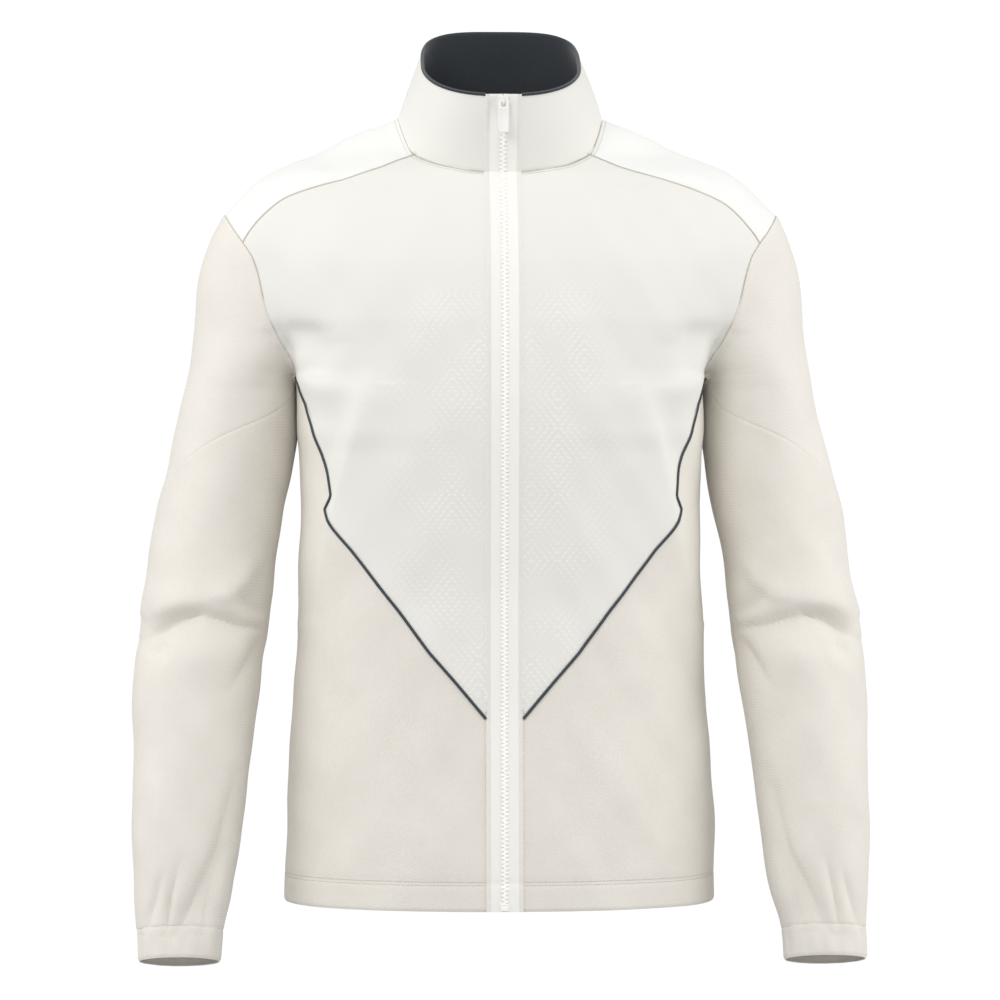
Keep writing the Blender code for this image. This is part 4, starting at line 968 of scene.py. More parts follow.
def startMaterial(name, colour, roughness, sheen=0.0):
    material = bpy.data.materials.new(name)
    material.use_nodes = True
    tree = material.node_tree
    shader = tree.nodes["Principled BSDF"]
    finish = {"Base Color": linear(colour), "Roughness": roughness}
    nap = {"Sheen Weight": sheen, "Sheen Roughness": 0.5}
    for socket, value in (finish | nap).items():
        shader.inputs[socket].default_value = value
    return material, tree, shader, addNode(tree, "TexCoord").outputs["Object"]


def tonedCloth(tree, shader, colours, shade, height, strength, depth):
    # shade turns the first colour to the second, and height is felt as a bump of this depth in metres
    tones = {"data_type": "RGBA", 6: linear(colours[0]), 7: linear(colours[1])}
    mix = addNode(tree, "Mix", tones, {0: shade})
    bump = addNode(tree, "Bump", {"Strength": strength, "Distance": depth}, {"Height": height})
    tree.links.new(mix.outputs[2], shader.inputs["Base Color"])
    tree.links.new(bump.outputs[0], shader.inputs["Normal"])


def stripes(tree, value, period):
    angle = addNode(tree, "Math", {"operation": "MULTIPLY", 1: 2 * math.pi / period}, {0: value})
    return addNode(tree, "Math", {"operation": "SINE"}, {0: angle})


smoothStep = {"interpolation_type": "SMOOTHSTEP"}
smoothKnit = {
    "colours": ("#E4E3DD", "#EFEEE8"),  # the ground, and the pattern on it
    "finish": (0.82, 0.15),  # roughness and sheen, here and in the other knits
    "bump": (0.22, 0.00035),  # its strength, and its depth in metres
    "motifSize": (0.046, 0.058),  # metres across and up one lozenge
    "rings": 3.5,
    "dash": 0.0036,  # metres; the real loops are finer and wouldn't show
    "reach": (0.128, 0.050),  # across, where the pattern starts and is whole
    "low": (-0.560, -0.490),
    "high": (-0.110, -0.170),
}


def smoothKnitMaterial():
    # fine interlock polyester, matt with a slight nap; its tone pattern of nested lozenges only just shows
    colours, finish = smoothKnit["colours"], smoothKnit["finish"]
    material, tree, shader, place = startMaterial("smoothInterlockKnit", colours[0], *finish)
    split = addNode(tree, "SeparateXYZ", None, {"Vector": place})
    across, up = addNode(tree, "Math", {"operation": "ABSOLUTE"}, {0: split}), split.outputs[2]
    folded = []
    for value, size in zip((across, up), smoothKnit["motifSize"]):
        share = addNode(tree, "Math", {"operation": "MULTIPLY", 1: 1 / size}, {0: value})
        share = addNode(tree, "Math", {"operation": "FRACT"}, {0: share})
        share = addNode(tree, "Math", {"operation": "SUBTRACT", 1: 0.5}, {0: share})
        folded.append(addNode(tree, "Math", {"operation": "ABSOLUTE"}, {0: share}))
    reach = addNode(tree, "Math", {"operation": "ADD"}, {0: folded[0], 1: folded[1]})
    rings = stripes(tree, reach, 0.5 / smoothKnit["rings"])
    lines = addNode(tree, "MapRange", smoothStep | {1: 0.1, 2: 0.8}, {"Value": rings})
    dashes = stripes(tree, up, smoothKnit["dash"])
    dashes = addNode(tree, "MapRange", {1: -0.9, 2: 0.3}, {"Value": dashes})
    shown = addNode(tree, "Math", {"operation": "MULTIPLY"}, {0: lines, 1: dashes})
    edges = ((across, smoothKnit["reach"]), (up, smoothKnit["low"]), (up, smoothKnit["high"]))
    for value, (start, whole) in edges:
        fade = addNode(tree, "MapRange", smoothStep | {1: start, 2: whole}, {"Value": value})
        shown = addNode(tree, "Math", {"operation": "MULTIPLY"}, {0: shown, 1: fade})
    patches = addNode(tree, "TexNoise", {"Scale": 26.0, "Detail": 2.0}, {"Vector": place})
    patches = addNode(tree, "MapRange", {1: 0.36, 2: 0.62}, {"Value": patches})
    shown = addNode(tree, "Math", {"operation": "MULTIPLY"}, {0: shown, 1: patches})
    grain = addNode(tree, "TexNoise", {"Scale": 850.0, "Detail": 1.0}, {"Vector": place})
    shade = addNode(tree, "Math", {"operation": "MULTIPLY", 1: 0.85}, {0: shown})
    shade = addNode(tree, "Math", {"operation": "MULTIPLY_ADD", 1: 0.3}, {0: grain, 2: shade})
    height = addNode(tree, "Math", {"operation": "MULTIPLY_ADD", 1: 0.3}, {0: shown, 2: grain})
    tonedCloth(tree, shader, colours, shade, height, *smoothKnit["bump"])
    return material


grainedKnit = {
    "finish": (0.86, 0.2),
    "bump": (0.3, 0.0004),
    "ribs": 0.5,
    "speckle": 0.35,
    "mottle": 0.35,
    "wander": 0.9,  # of a rib's width, so that no rib runs dead straight
    "sideways": 0.7,  # how far the ribs turn with the cloth round to the side
}


def grainedKnitMaterial(name, colours, period, slant):
    # brushed polyester knit, matt; a real rib is about a millimetre wide, and is drawn twice that to show
    material, tree, shader, place = startMaterial(name, colours[0], *grainedKnit["finish"])
    split = addNode(tree, "SeparateXYZ", None, {"Vector": place})
    around = addNode(tree, "Math", {"operation": "ABSOLUTE"}, {0: split})
    sideways = {"operation": "MULTIPLY_ADD", 1: grainedKnit["sideways"]}
    around = addNode(tree, "Math", sideways, {0: split.outputs[1], 2: around})
    along = addNode(tree, "Math", {"operation": "MULTIPLY_ADD", 1: slant}, {0: around, 2: split.outputs[2]})
    wobble = addNode(tree, "TexNoise", {"Scale": 190.0, "Detail": 2.0}, {"Vector": place})
    wander = {"operation": "MULTIPLY_ADD", 1: period * grainedKnit["wander"]}
    along = addNode(tree, "Math", wander, {0: wobble, 2: along})
    lines = stripes(tree, along, period)
    lines = addNode(tree, "Math", {"operation": "MULTIPLY_ADD", 1: 0.5, 2: 0.5}, {0: lines})
    grain = addNode(tree, "TexNoise", {"Scale": 620.0, "Detail": 2.0}, {"Vector": place})
    mottle = addNode(tree, "TexNoise", {"Scale": 34.0, "Detail": 3.0}, {"Vector": place})
    shade = addNode(tree, "Math", {"operation": "MULTIPLY", 1: grainedKnit["speckle"]}, {0: grain})
    ribs = {"operation": "MULTIPLY_ADD", 1: grainedKnit["ribs"] * 0.5}
    shade = addNode(tree, "Math", ribs, {0: lines, 2: shade})
    shade = addNode(tree, "Math", {"operation": "SUBTRACT", 1: 0.1}, {0: shade})
    mottled = {"operation": "MULTIPLY_ADD", 1: grainedKnit["mottle"]}
    shade = addNode(tree, "Math", mottled, {0: mottle, 2: shade})
    height = addNode(tree, "Math", {"operation": "MULTIPLY_ADD", 1: grainedKnit["ribs"]}, {0: lines, 2: grain})
    tonedCloth(tree, shader, colours, shade, height, *grainedKnit["bump"])
    return material


def plainKnitMaterial(name, colours, scale=800.0, roughness=0.85, sheen=0.15):
    # plain fine knit or spun thread, matt, with a grain of about a millimetre
    material, tree, shader, place = startMaterial(name, colours[0], roughness, sheen)
    grain = addNode(tree, "TexNoise", {"Scale": scale, "Detail": 1.0}, {"Vector": place})
    tonedCloth(tree, shader, colours, grain, grain, 0.2, 0.0003)
    return material


zipTape = {
    "colours": ("#F2F0EB", "#E1DED7"),
    "finish": (0.75, 0.1),
    "bump": (0.4, 0.0004),
    "bandEdge": (0.0116, 0.0124),
    "rib": 0.0016,
}


def tapeMaterial():
    # woven zip tape: cross ribs, drawn twice as coarse as real ones, and a darker, thicker band down its edge
    colours, finish = zipTape["colours"], zipTape["finish"]
    material, tree, shader, place = startMaterial("wovenZipTape", colours[0], *finish)
    split = addNode(tree, "SeparateXYZ", None, {"Vector": place})
    across = addNode(tree, "Math", {"operation": "ABSOLUTE"}, {0: split})
    start, whole = zipTape["bandEdge"]
    band = addNode(tree, "MapRange", smoothStep | {1: start, 2: whole}, {"Value": across})
    ribs = stripes(tree, split.outputs[2], zipTape["rib"])
    ribs = addNode(tree, "Math", {"operation": "MULTIPLY_ADD", 1: 0.5, 2: 0.5}, {0: ribs})
    ribbedBand = addNode(tree, "Math", {"operation": "MULTIPLY"}, {0: band, 1: ribs})
    shade = addNode(tree, "Math", {"operation": "MULTIPLY", 1: 0.5}, {0: band})
    shade = addNode(tree, "Math", {"operation": "MULTIPLY_ADD", 1: 0.4}, {0: ribbedBand, 2: shade})
    height = addNode(tree, "Math", {"operation": "MULTIPLY_ADD", 1: 0.8, 2: 0.2}, {0: band})
    height = addNode(tree, "Math", {"operation": "MULTIPLY"}, {0: ribs, 1: height})
    tonedCloth(tree, shader, colours, shade, height, *zipTape["bump"])
    return material


def plasticMaterial(name, colour, roughness):
    # moulded acetal: slightly glossy, with the faint orange peel of its mould
    material, tree, shader, place = startMaterial(name, colour, roughness)
    grain = addNode(tree, "TexNoise", {"Scale": 700.0, "Detail": 1.0}, {"Vector": place})
    bump = addNode(tree, "Bump", {"Strength": 0.05, "Distance": 0.0002}, {"Height": grain})
    tree.links.new(bump.outputs[0], shader.inputs["Normal"])
    shader.inputs["IOR"].default_value = 1.48
    return material


cloths = {
    "chest": smoothKnitMaterial(),
    "yoke": plainKnitMaterial("smoothYokeKnit", ("#F2F3F0", "#EAEBE7")),
    "ribbed": grainedKnitMaterial("fineRibbedKnit", ("#EAE6DE", "#DBD6CD"), 0.0021, 0.10),
    "twill": grainedKnitMaterial("brushedTwillKnit", ("#EAE6DE", "#D3CDC2"), 0.0023, 0.9),
    "dark": plainKnitMaterial("charcoalKnit", ("#2B3138", "#20262C"), 700.0, 0.8, 0.3),
    "piping": plainKnitMaterial("charcoalPiping", ("#3A434B", "#2C343B"), 900.0, 0.7, 0.1),
    # the seam fill is darker than the cloth: painted shade for the shadow line in each seam's groove
    "seam": plainKnitMaterial("seamEdgePaintedShade", ("#CEC9BF", "#C1BBB1"), 900.0, 0.9, 0.0),
    "thread": plainKnitMaterial("polyesterThread", ("#D9D6CF", "#CBC7BF"), 1500.0, 0.6, 0.1),
    "tape": tapeMaterial(),
    "teeth": plasticMaterial("mouldedAcetalTeeth", "#FAF9F5", 0.38),
    "slider": plasticMaterial("mouldedAcetalSlider", "#EDECE8", 0.35),
}
print("materials ready")

# the cloth pieces
sides = (("Left", 1), ("Right", -1))
rollIn = panel["edgeRoll"]
netPlan = {
    "lowerAcross": 56,
    "lowerLengths": (0.35, 0.30),  # roughly, at its top and its hem
    "backHalf": 64,
    "backEdge": (0, 0.0035, 0.010),  # closer steps beside the side seams
}


def bothSides(name, distance, net, material, rolls, gapped, closed=False, ownNormals=False):
    made = []
    for side, sign in sides:
        shaped = finished(distance, onSide(net, sign), rolls, gapped, ownNormals)
        made.append(clothPiece(name + side, shaped, material, closed=closed, turned=sign < 0))
    return made


def fit(piece, slotName, *nodes, body=garment):
    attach(piece, body)
    if nodes:
        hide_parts(*nodes)


def wear(piece, node, slotName):
    fit(piece, slotName, node)


def sizeOf(net, closed=False):
    ring = closedRing(net, closed)
    a, b, c, d = ring[:-1, :-1], ring[:-1, 1:], ring[1:, 1:], ring[1:, :-1]
    area = np.linalg.norm(np.cross(c - a, d - b), axis=-1).sum() / 2
    measures = runs(ring, 1)[:, -1].max(), runs(ring, 0)[-1].max(), area
    return [round(float(measure), 4) for measure in measures]


top = seams["neckFront"]
tip = np.repeat(seams["piped"][-1:], len(top), axis=0)
chestNet = laidOn(bodyDistance, patchNet(tip, top, seams["zipUpper"], seams["chestEdge"]))
chestNet = relaxed(chestNet, "chest")
chestNet = eased(bodyDistance, laidOn(bodyDistance, chestNet, 3), -1)
print("chest", sizeOf(chestNet))
rolls = {"top": rollIn, "right": rollIn}
gapped = ("top", "left", "right")
chests = bothSides("chest", bodyDistance, chestNet, cloths["chest"], rolls, gapped, ownNormals=True)

across, lengths = netPlan["lowerAcross"], netPlan["lowerLengths"]
netTop = spread(seams["underarm"][::-1], denseShares(across, lengths[0]))
hem = hemStretch(seams["zipLower"][-1], seams["side"][-1], across)
hem = spread(hem, denseShares(across, lengths[1]))
lowerNet = laidOn(bodyDistance, patchNet(hem, netTop, seams["lowerEdge"][::-1], seams["side"][::-1]), 9)
print("lowerFront", sizeOf(lowerNet))
rolls = {"top": rollIn, "left": rollIn, "right": rollIn, "bottom": panel["hemRoll"]}
lowerFronts = bothSides("lowerFront", bodyDistance, lowerNet, cloths["twill"], rolls, gapped)

even = np.linspace(0, 1, netPlan["backHalf"] + 1)
hem = spread(hemStretch(seams["side"][-1], np.array([0.0, 1.0, 0.0]), netPlan["backHalf"]), even)
neckHalf = spread(seams["neckBack"], even)
nearEdge = np.concatenate([netPlan["backEdge"], even[1:]])
hem, neckHalf = spread(hem, nearEdge), spread(neckHalf, nearEdge)
sideEdge = np.vstack([seams["side"][::-1], seams["armholeBack"][::-1][1:], seams["yokeBack"][::-1][1:]])
wholeHem = np.vstack([mirrored(hem), hem[::-1][1:]])
wholeNeck = np.vstack([mirrored(neckHalf), neckHalf[::-1][1:]])
backNet = laidOn(bodyDistance, patchNet(wholeHem, wholeNeck, mirrored(sideEdge), sideEdge), 9)
for sign in (-1, 1):
    backNet = relaxed(backNet, "back", sign)
backNet = eased(bodyDistance, backNet, 1)
print("back", sizeOf(backNet), backNet.shape)
backShaped = finished(bodyDistance, backNet, rolls, gapped, ownNormals=True)
backPanel = clothPiece("backPanel", backShaped, cloths["twill"], turned=True)

yokeNet = patchNet(seams["yokeFront"], seams["yokeBack"], seams["neckSide"], seams["armholeTop"])
yokeNet = laidOn(bodyDistance, yokeNet)
print("yoke", sizeOf(yokeNet))
yokeNet = relaxed(yokeNet, "yoke")
rolls = dict.fromkeys(("top", "bottom", "left", "right"), rollIn)
yokes = bothSides("yoke", bodyDistance, yokeNet, cloths["yoke"], rolls, tuple(rolls), ownNormals=True)
print("torso cloth made")

# sleeves and cuffs
sleevePlan = {
    "around": 120,
    "upper": 44,
    "upperLength": 0.15,
    "lower": 124,
    "lowerLength": 0.42,
    "rounds": 5,
    "smoothings": 4,
}


def loopDegrees(heightOf, shares):
    degrees = np.linspace(0, 360, 1441)
    along = shareAlong(armSection(heightOf(degrees), degrees))
    turns = np.floor(shares)
    return np.interp(shares - turns, along, degrees) + 360 * turns


def respaced(net, shares):
    return np.stack([spread(column, shares) for column in net.swapaxes(0, 1)], axis=1)


armholeStretches = ("armholeFront", "armholeTop", "armholeBack", "underarm")
armholeRing = np.vstack([seams[name][:-1] for name in armholeStretches] + [seams["armholeFront"][:1]])
lead = lengthAlong(armholePoint(np.linspace(270, armholeMiddle["pipeTurn"], 60)))[-1]
evenShares = np.linspace(0, 1, sleevePlan["around"] + 1)[:-1]
armLoop = spread(armholeRing, evenShares)
loopShares = evenShares + lead / lengthAlong(armholeRing)[-1]
seamDegrees = loopDegrees(sleeveSeamHeight, loopShares)
cuffDegrees = loopDegrees(cuffHeight, loopShares)
slantSeam = armSection(sleeveSeamHeight(seamDegrees), seamDegrees)

shares = denseShares(sleevePlan["upper"], sleevePlan["upperLength"])
part = shares[:, None, None]
sleeveNet = armLoop * (1 - part) + slantSeam * part
for _ in range(sleevePlan["rounds"]):
    inside = sleeveNet[1:-1]
    inside[:] = onto(sleeveDistance, inside.reshape(-1, 3), 2).reshape(inside.shape)
    for _ in range(sleevePlan["smoothings"]):
        inside[:] = 0.5 * inside + 0.25 * (np.roll(inside, 1, axis=1) + np.roll(inside, -1, axis=1))
    sleeveNet = respaced(sleeveNet, shares)
sleeveNet = laidOn(sleeveDistance, sleeveNet, 4)
inside = sleeveNet[1:-1]
sleeveNet[1:-1] = onto(sleeveDistance, inside.reshape(-1, 3), 4).reshape(inside.shape)
print("upperSleeve", sizeOf(sleeveNet, True))
rolls = {"top": rollIn, "bottom": rollIn}
ends = tuple(rolls)
upperSleeves = bothSides("upperSleeve", sleeveDistance, sleeveNet, cloths["ribbed"], rolls, ends, closed=True)

rows = []
cuffLine = cuffHeight(cuffDegrees)
for share in denseShares(sleevePlan["lower"], sleevePlan["lowerLength"]):
    degrees = seamDegrees + (cuffDegrees - seamDegrees) * share
    rows.append(armSection(sleeveSeamHeight(seamDegrees) * (1 - share) + cuffLine * share, degrees))
lowerSleeveNet = np.array(rows)
print("lowerSleeve", sizeOf(lowerSleeveNet, True))
lowerSleeves = bothSides("lowerSleeve", armDistance, lowerSleeveNet, cloths["twill"], rolls, ends, closed=True)

rows = []
for share in denseShares(cuff["rows"], cuff["height"]):
    ring = armSection(cuffHeight(cuffDegrees, -cuff["height"] * share), cuffDegrees)
    turn = np.radians(cuffDegrees)
    sink = np.sin(turn * cuff["waveCount"] + cuff["waveWander"] * np.sin(turn * 4))
    strength = cuff["waves"] * math.sin(math.pi * min(1.0, 0.12 + share * 0.8))
    ring = ring - outward(armDistance, ring) * ((0.5 + 0.5 * sink) * strength)[:, None]
    rows.append(ring)
cuffNet = np.array(rows)
print("cuff", sizeOf(cuffNet, True))
rolls = {"bottom": rollIn, "top": panel["hemRoll"]}
cuffs = bothSides("cuff", armDistance, cuffNet, cloths["twill"], rolls, ("bottom",), closed=True)
print("sleeves made")

# collar


def collarTop():
    turn = np.radians(np.linspace(0, 180, 721))
    power = 2 / np.where(np.cos(turn) > 0, collar["frontSquareness"], collar["backSquareness"])
    across = collar["halfWidth"] * np.abs(np.sin(turn)) ** power
    y = collar["middle"] - collar["halfDepth"] * np.sign(np.cos(turn)) * np.abs(np.cos(turn)) ** power
    line = np.stack([across, y, collar["height"] + collar["rise"] * (y - collar["middle"])], axis=1)
    return line[np.argmax(across >= zipPlan["halfWidth"]) :]


def collarShape():
    topHalf = spread(collarTop(), shareAlong(neckLine))
    topHalf[-1][0] = 0
    base = np.vstack([neckLine, mirrored(neckLine)[::-1][1:]])
    topEdge = np.vstack([topHalf, mirrored(topHalf)[::-1][1:]])
    part = denseShares(collar["rows"], collar["length"])[:, None, None]
    net = base * (1 - part) + topEdge * part
    return net + netNormals(net) * collar["bulge"] * np.sin(np.pi * part)


neckLine = np.vstack([seams["neckFront"], seams["neckSide"][1:], seams["neckBack"][1:]])
collarNet = collarShape()
print("collar", sizeOf(collarNet), collarNet.shape)
normals = netNormals(collarNet)
alongUp = runs(collarNet, 0)
roll = rollIn * np.exp(-((alongUp / panel["rollWidth"]) ** 2))
across = collarNet[..., 0]
calm = np.clip((np.abs(across) - zipPlan["halfWidth"]) / collar["calmWidth"], 0, 1)
ripple = np.sin(across * collar["rippleTurn"] + 0.8) * np.sin(np.pi * alongUp / alongUp[-1:])
ease = collar["ripple"] * calm * ripple
shaped = collarNet - normals * (roll + ease)[..., None]
shaped[0] += panel["seamBack"] * unit(shaped[1] - shaped[0])
collarOuter = clothPiece("collarOuter", shaped, cloths["chest"], thickness=collar["cloth"])

rising = unit(shaped[-1] - shaped[-3])
facingNet = shaped - normals * collar["facingGap"]
collarLip = (  # in from the outer layer's rim, and up: the facing stands over it and shows as a thin dark edge
    (collar["facingGap"], 0.0008),
    (0.0010, collar["lip"] * 1.1),
    (0.0002, collar["lip"] * 0.9),
    (0.0000, 0.0003),
)
lipRows = np.array([shaped[-1] - normals[-1] * inwards + rising * up for inwards, up in collarLip])
facingShaped = np.concatenate([facingNet, lipRows], axis=0)
collarFacing = clothPiece("collarFacing", facingShaped, cloths["dark"], thickness=collar["facingCloth"])
print("collar made")

# piping: a rolled cord-like edge that lies on the seam of the V
piping = {"width": 0.0027, "height": 0.0014, "corners": 8, "first": 3, "lift": 0.0001, "shortened": 0.0008}


def sweptPiece(name, line, normals, width, height, corners, material):
    sideways = unit(np.cross(unit(np.gradient(line, axis=0)), normals))
    rings = []
    for turn in np.linspace(0, 2 * math.pi, corners + 1)[:-1]:  # round above and nearly flat below
        lift = height * (0.35 + 0.65 * max(math.sin(turn), -0.5))
        rings.append(line + sideways * (width / 2 * math.cos(turn)) + normals * lift)
    net = np.stack(rings, axis=1)
    piece = meshPiece(name, net.reshape(-1, 3), gridFaces(*net.shape[:2], True), material)

    def closeEnds(mesh):
        rim = [edge for edge in mesh.edges if edge.is_boundary]
        bmesh.ops.holes_fill(mesh, edges=rim, sides=corners)
        bmesh.ops.recalc_face_normals(mesh, faces=mesh.faces)

    reshaped(piece, closeEnds)
    smoothUpTo(piece, 60)
    return piece


def onCloth(distance, points, lift=0.0):
    normals = outward(distance, points)
    return points + normals * (lift - foldDepth(points))[:, None], normals


pipings = []
for side, sign in sides:
    line = onSide(seams["piped"][piping["first"] :], sign)
    line, normals = onCloth(bodyDistance, line, piping["lift"])
    line[-1] += unit(line[-2] - line[-1]) * piping["shortened"]
    size = (piping["width"], piping["height"], piping["corners"])
    pipings.append(sweptPiece("piping" + side, line, normals, *size, cloths["piping"]))
    fit(pipings[-1], "dark_knit", "piping_" + side.lower())
print("piping made")

# what joins the panels inside each seam, as their turned edges do; it is coloured darker than the cloth,
# painted shade that stands for the thin shadow line in the seam's groove
seamFill = {
    "height": 0.0007,
    "corners": 6,
    "below": 0.0012,  # under the cloth's face
    "width": 0.0026,
    "shallow": (0.0004, 0.0015),  # below and width where the seam's turned edge shows as a thin line, darkened with painted shade
    "neck": (0.0004, 0.0017),
    "armhole": (0.0005, 0.0015),
}


def fillSeam(name, line, distance, slotName, below=seamFill["below"], width=seamFill["width"]):
    for side, sign in sides:
        here, normals = onCloth(distance, onSide(line, sign), -below)
        size = (width, seamFill["height"], seamFill["corners"])
        fit(sweptPiece(name + side, here, normals, *size, cloths["seam"]), slotName)


degrees = np.linspace(0, 360, 300)
slantRing, cuffRing = armSection(sleeveSeamHeight(degrees), degrees), armSection(cuffHeight(degrees), degrees)
fillSeam("yokeFrontSeam", seams["yokeFront"], bodyDistance, "yoke_knit", *seamFill["shallow"])
fillSeam("yokeBackSeam", seams["yokeBack"], bodyDistance, "yoke_knit", *seamFill["shallow"])
fillSeam("armholeSeam", armholeRing, wholeDistance, "ribbed_knit", *seamFill["armhole"])
fillSeam("neckSeam", neckLine, bodyDistance, "yoke_knit", *seamFill["neck"])
fillSeam("sideSeam", seams["side"], torsoDistance, "twill_knit")
fillSeam("pipedSeam", seams["piped"], bodyDistance, "twill_knit")
fillSeam("sleeveSeam", slantRing, armDistance, "twill_knit")
fillSeam("cuffSeam", cuffRing, armDistance, "twill_knit")
print("seams filled")

# stitching
stitch = {
    "length": 0.0027,
    "pitch": 0.0033,
    "width": 0.00055,
    "height": 0.00045,
    "lift": 0.0002,
    "cuffRows": (0.0022, 0.0052),  # above the cuff's seam
    "neckRow": 0.0036,  # below the collar
    "zipTurn": 0.13,
    "zipEdge": 0.0168,
}


def roundedBox(name, size, place, bevel, segments=3):
    bpy.ops.object.select_all(action="DESELECT")
    bpy.ops.mesh.primitive_cube_add(size=1)
    box = bpy.context.object
    box.name = name
    bpy.ops.object.mode_set(mode="EDIT")
    bpy.ops.transform.resize(value=size)
    bpy.ops.transform.translate(value=place)
    if bevel:
        bpy.ops.mesh.bevel(offset=bevel, segments=segments, affect="EDGES")
    bpy.ops.object.mode_set(mode="OBJECT")
    return box


def copiesOf(name, master, places, material):
    mesh = bmesh.new()
    for place in places:
        one = master.data.copy()
        one.transform(place)
        mesh.from_mesh(one)
        bpy.data.meshes.remove(one)
    data = bpy.data.meshes.new(name)
    mesh.to_mesh(data)
    mesh.free()
    return placed(name, data, material)


def framePlace(point, along, outwards):
    along = Vector(along).normalized()
    across = Vector(outwards).cross(along).normalized()
    up = along.cross(across)
    turn = Matrix((along, across, up)).transposed().to_4x4()
    return Matrix.Translation(Vector(point)) @ turn


def stitchPlaces(line, distance):
    count = int(lengthAlong(line)[-1] / stitch["pitch"])
    number = np.arange(count)
    points, normals = onCloth(distance, spread(line, (number + 0.5) / count), stitch["lift"])
    along = spread(line, np.clip((number + 0.6) / count, 0, 1)) - spread(line, (number + 0.4) / count)
    return [framePlace(*place) for place in zip(points, along, normals)]


stitchSize = (stitch["length"], stitch["width"], stitch["height"])
master = roundedBox("oneStitch", stitchSize, (0, 0, 0), stitch["width"] * 0.28, 1)
turn = np.linspace(stitch["zipTurn"], 2 * math.pi - stitch["zipTurn"], 900)
places = []
for step in (-0.5, 0.5):
    ring = levelRing(turn, form["hem"] + hemStitch["height"] + step * hemStitch["apart"])
    ring = ring[np.abs(ring[:, 0]) + np.where(ring[:, 1] > 0, 1, 0) > stitch["zipEdge"]]
    places += stitchPlaces(ring, torsoDistance)
hemStitching = copiesOf("hemStitching", master, places, cloths["thread"])

places = []
degrees = np.linspace(0, 360, 400)
for step in stitch["cuffRows"]:
    for side, sign in sides:
        places += stitchPlaces(onSide(armSection(cuffHeight(degrees, step), degrees), sign), armDistance)
cuffStitching = copiesOf("cuffStitching", master, places, cloths["thread"])

away = unit(np.cross(np.gradient(neckLine, axis=0), outward(torsoDistance, neckLine)))
away = away * np.sign((away[:, :2] * (neckLine - neckLine.mean(axis=0))[:, :2]).sum())
neckRow = onto(bodyDistance, neckLine + away * stitch["neckRow"], 4)[1:]
places = []
for side, sign in sides:
    places += stitchPlaces(onSide(neckRow, sign), bodyDistance)
neckStitching = copiesOf("neckStitching", master, places, cloths["thread"])
bpy.data.objects.remove(master, do_unlink=True)
fit(hemStitching, "twill_knit")
fit(cuffStitching, "twill_knit")
fit(neckStitching, "yoke_knit")
print("stitching made")

# zip
zipper = {
    "leastStep": 0.0006,
    "pastCollar": 0.0019,
    "edge": zipPlan["halfWidth"] + 0.0005,
    "tapeFrom": 0.0037,
    "bandFrom": 0.0120,
    "tapeOut": 0.0002,
    "bandOut": 0.0006,
    "tapeCloth": 0.0007,
    "toothPitch": 0.0036,
    "toothWidth": 0.0042,
    "toothHeight": 0.0020,
    "toothDepth": 0.0022,
    "toothShift": 0.0010,
    "toothRound": 0.0004,
    "toothClear": 0.0012,
    "chainOut": -0.0005,
    "stopLength": 0.0075,
    "stopUp": 0.0005,
    "sliderHeight": 0.0262,
    "sliderClear": 0.0066,
}


def zipPath():
    up = np.vstack([seams["zipLower"][::-1], seams["zipUpper"][1:]])
    line, _ = onCloth(bodyDistance, up)
    line = np.vstack([line, collarNet[1:, 0]])
    line[:, 0] = 0
    line = line[np.concatenate([[True], np.linalg.norm(np.diff(line, axis=0), axis=1) > zipper["leastStep"]])]
    line[-1] += unit(line[-1] - line[-2]) * zipper["pastCollar"]
    run = unit(np.gradient(line, axis=0))
    return line, np.stack([np.zeros(len(run)), -run[:, 2], run[:, 1]], axis=1)


def onPath(line, height):
    place = np.argmax(line[:, 2] >= height)
    before, after = line[place - 1], line[place]
    up = unit(after - before)
    point = before + (after - before) * (height - before[2]) / (after[2] - before[2])
    return point, up, np.array([0, -up[2], up[1]])


zipLine, zipOut = zipPath()
tapeProfile = (  # across from the middle, and out from the zip's line: under the teeth, bare tape, thick band
    (0.0002, -0.0006),
    (zipper["tapeFrom"] - 0.0009, -0.0006),
    (zipper["tapeFrom"], zipper["tapeOut"] - 0.0003),
    (zipper["tapeFrom"] + 0.0008, zipper["tapeOut"]),
    (zipper["bandFrom"] - 0.0005, zipper["tapeOut"]),
    (zipper["bandFrom"], zipper["bandOut"]),
    ((zipper["bandFrom"] + zipper["edge"]) / 2, zipper["bandOut"] + 0.0001),
    (zipper["edge"] - 0.0004, zipper["bandOut"]),
    (zipper["edge"], zipper["tapeOut"] - 0.0004),
)
for side, sign in sides:
    columns = [zipLine + zipOut * out + np.array([across * sign, 0, 0]) for across, out in tapeProfile]
    net = np.stack(columns, axis=1)
    tape = clothPiece("zipTape" + side, net, cloths["tape"], thickness=zipper["tapeCloth"], turned=sign < 0)
    fit(tape, "zip_tape", "zip_tape_" + side.lower())


def zipFrame(height, out=0.0, across=0.0, turned=False):
    point, up, away = onPath(zipLine, height)
    flip = -1 if turned else 1
    columns = (Vector((flip, 0, 0)), Vector(-away) * flip, Vector(up))
    turn = Matrix(columns).transposed().to_4x4()
    return Matrix.Translation(Vector(point + away * out) + Vector((across * flip, 0, 0))) @ turn


toothSize = (zipper["toothWidth"], zipper["toothDepth"], zipper["toothHeight"])
master = roundedBox("oneTooth", toothSize, (0, 0, 0), zipper["toothRound"], 1)
low = form["hem"] + zipper["stopLength"] + zipper["toothClear"]
heights = np.arange(low, zipper["sliderHeight"] - zipper["sliderClear"], zipper["toothPitch"] / 2)
places = []
for count, height in enumerate(heights):  # every other tooth is turned to the other tape
    places.append(zipFrame(height, zipper["chainOut"], zipper["toothShift"], count % 2 == 1))
zipTeeth = copiesOf("zipTeeth", master, places, cloths["teeth"])
bpy.data.objects.remove(master, do_unlink=True)
fit(zipTeeth, "zip_plastic", "zip_chain")


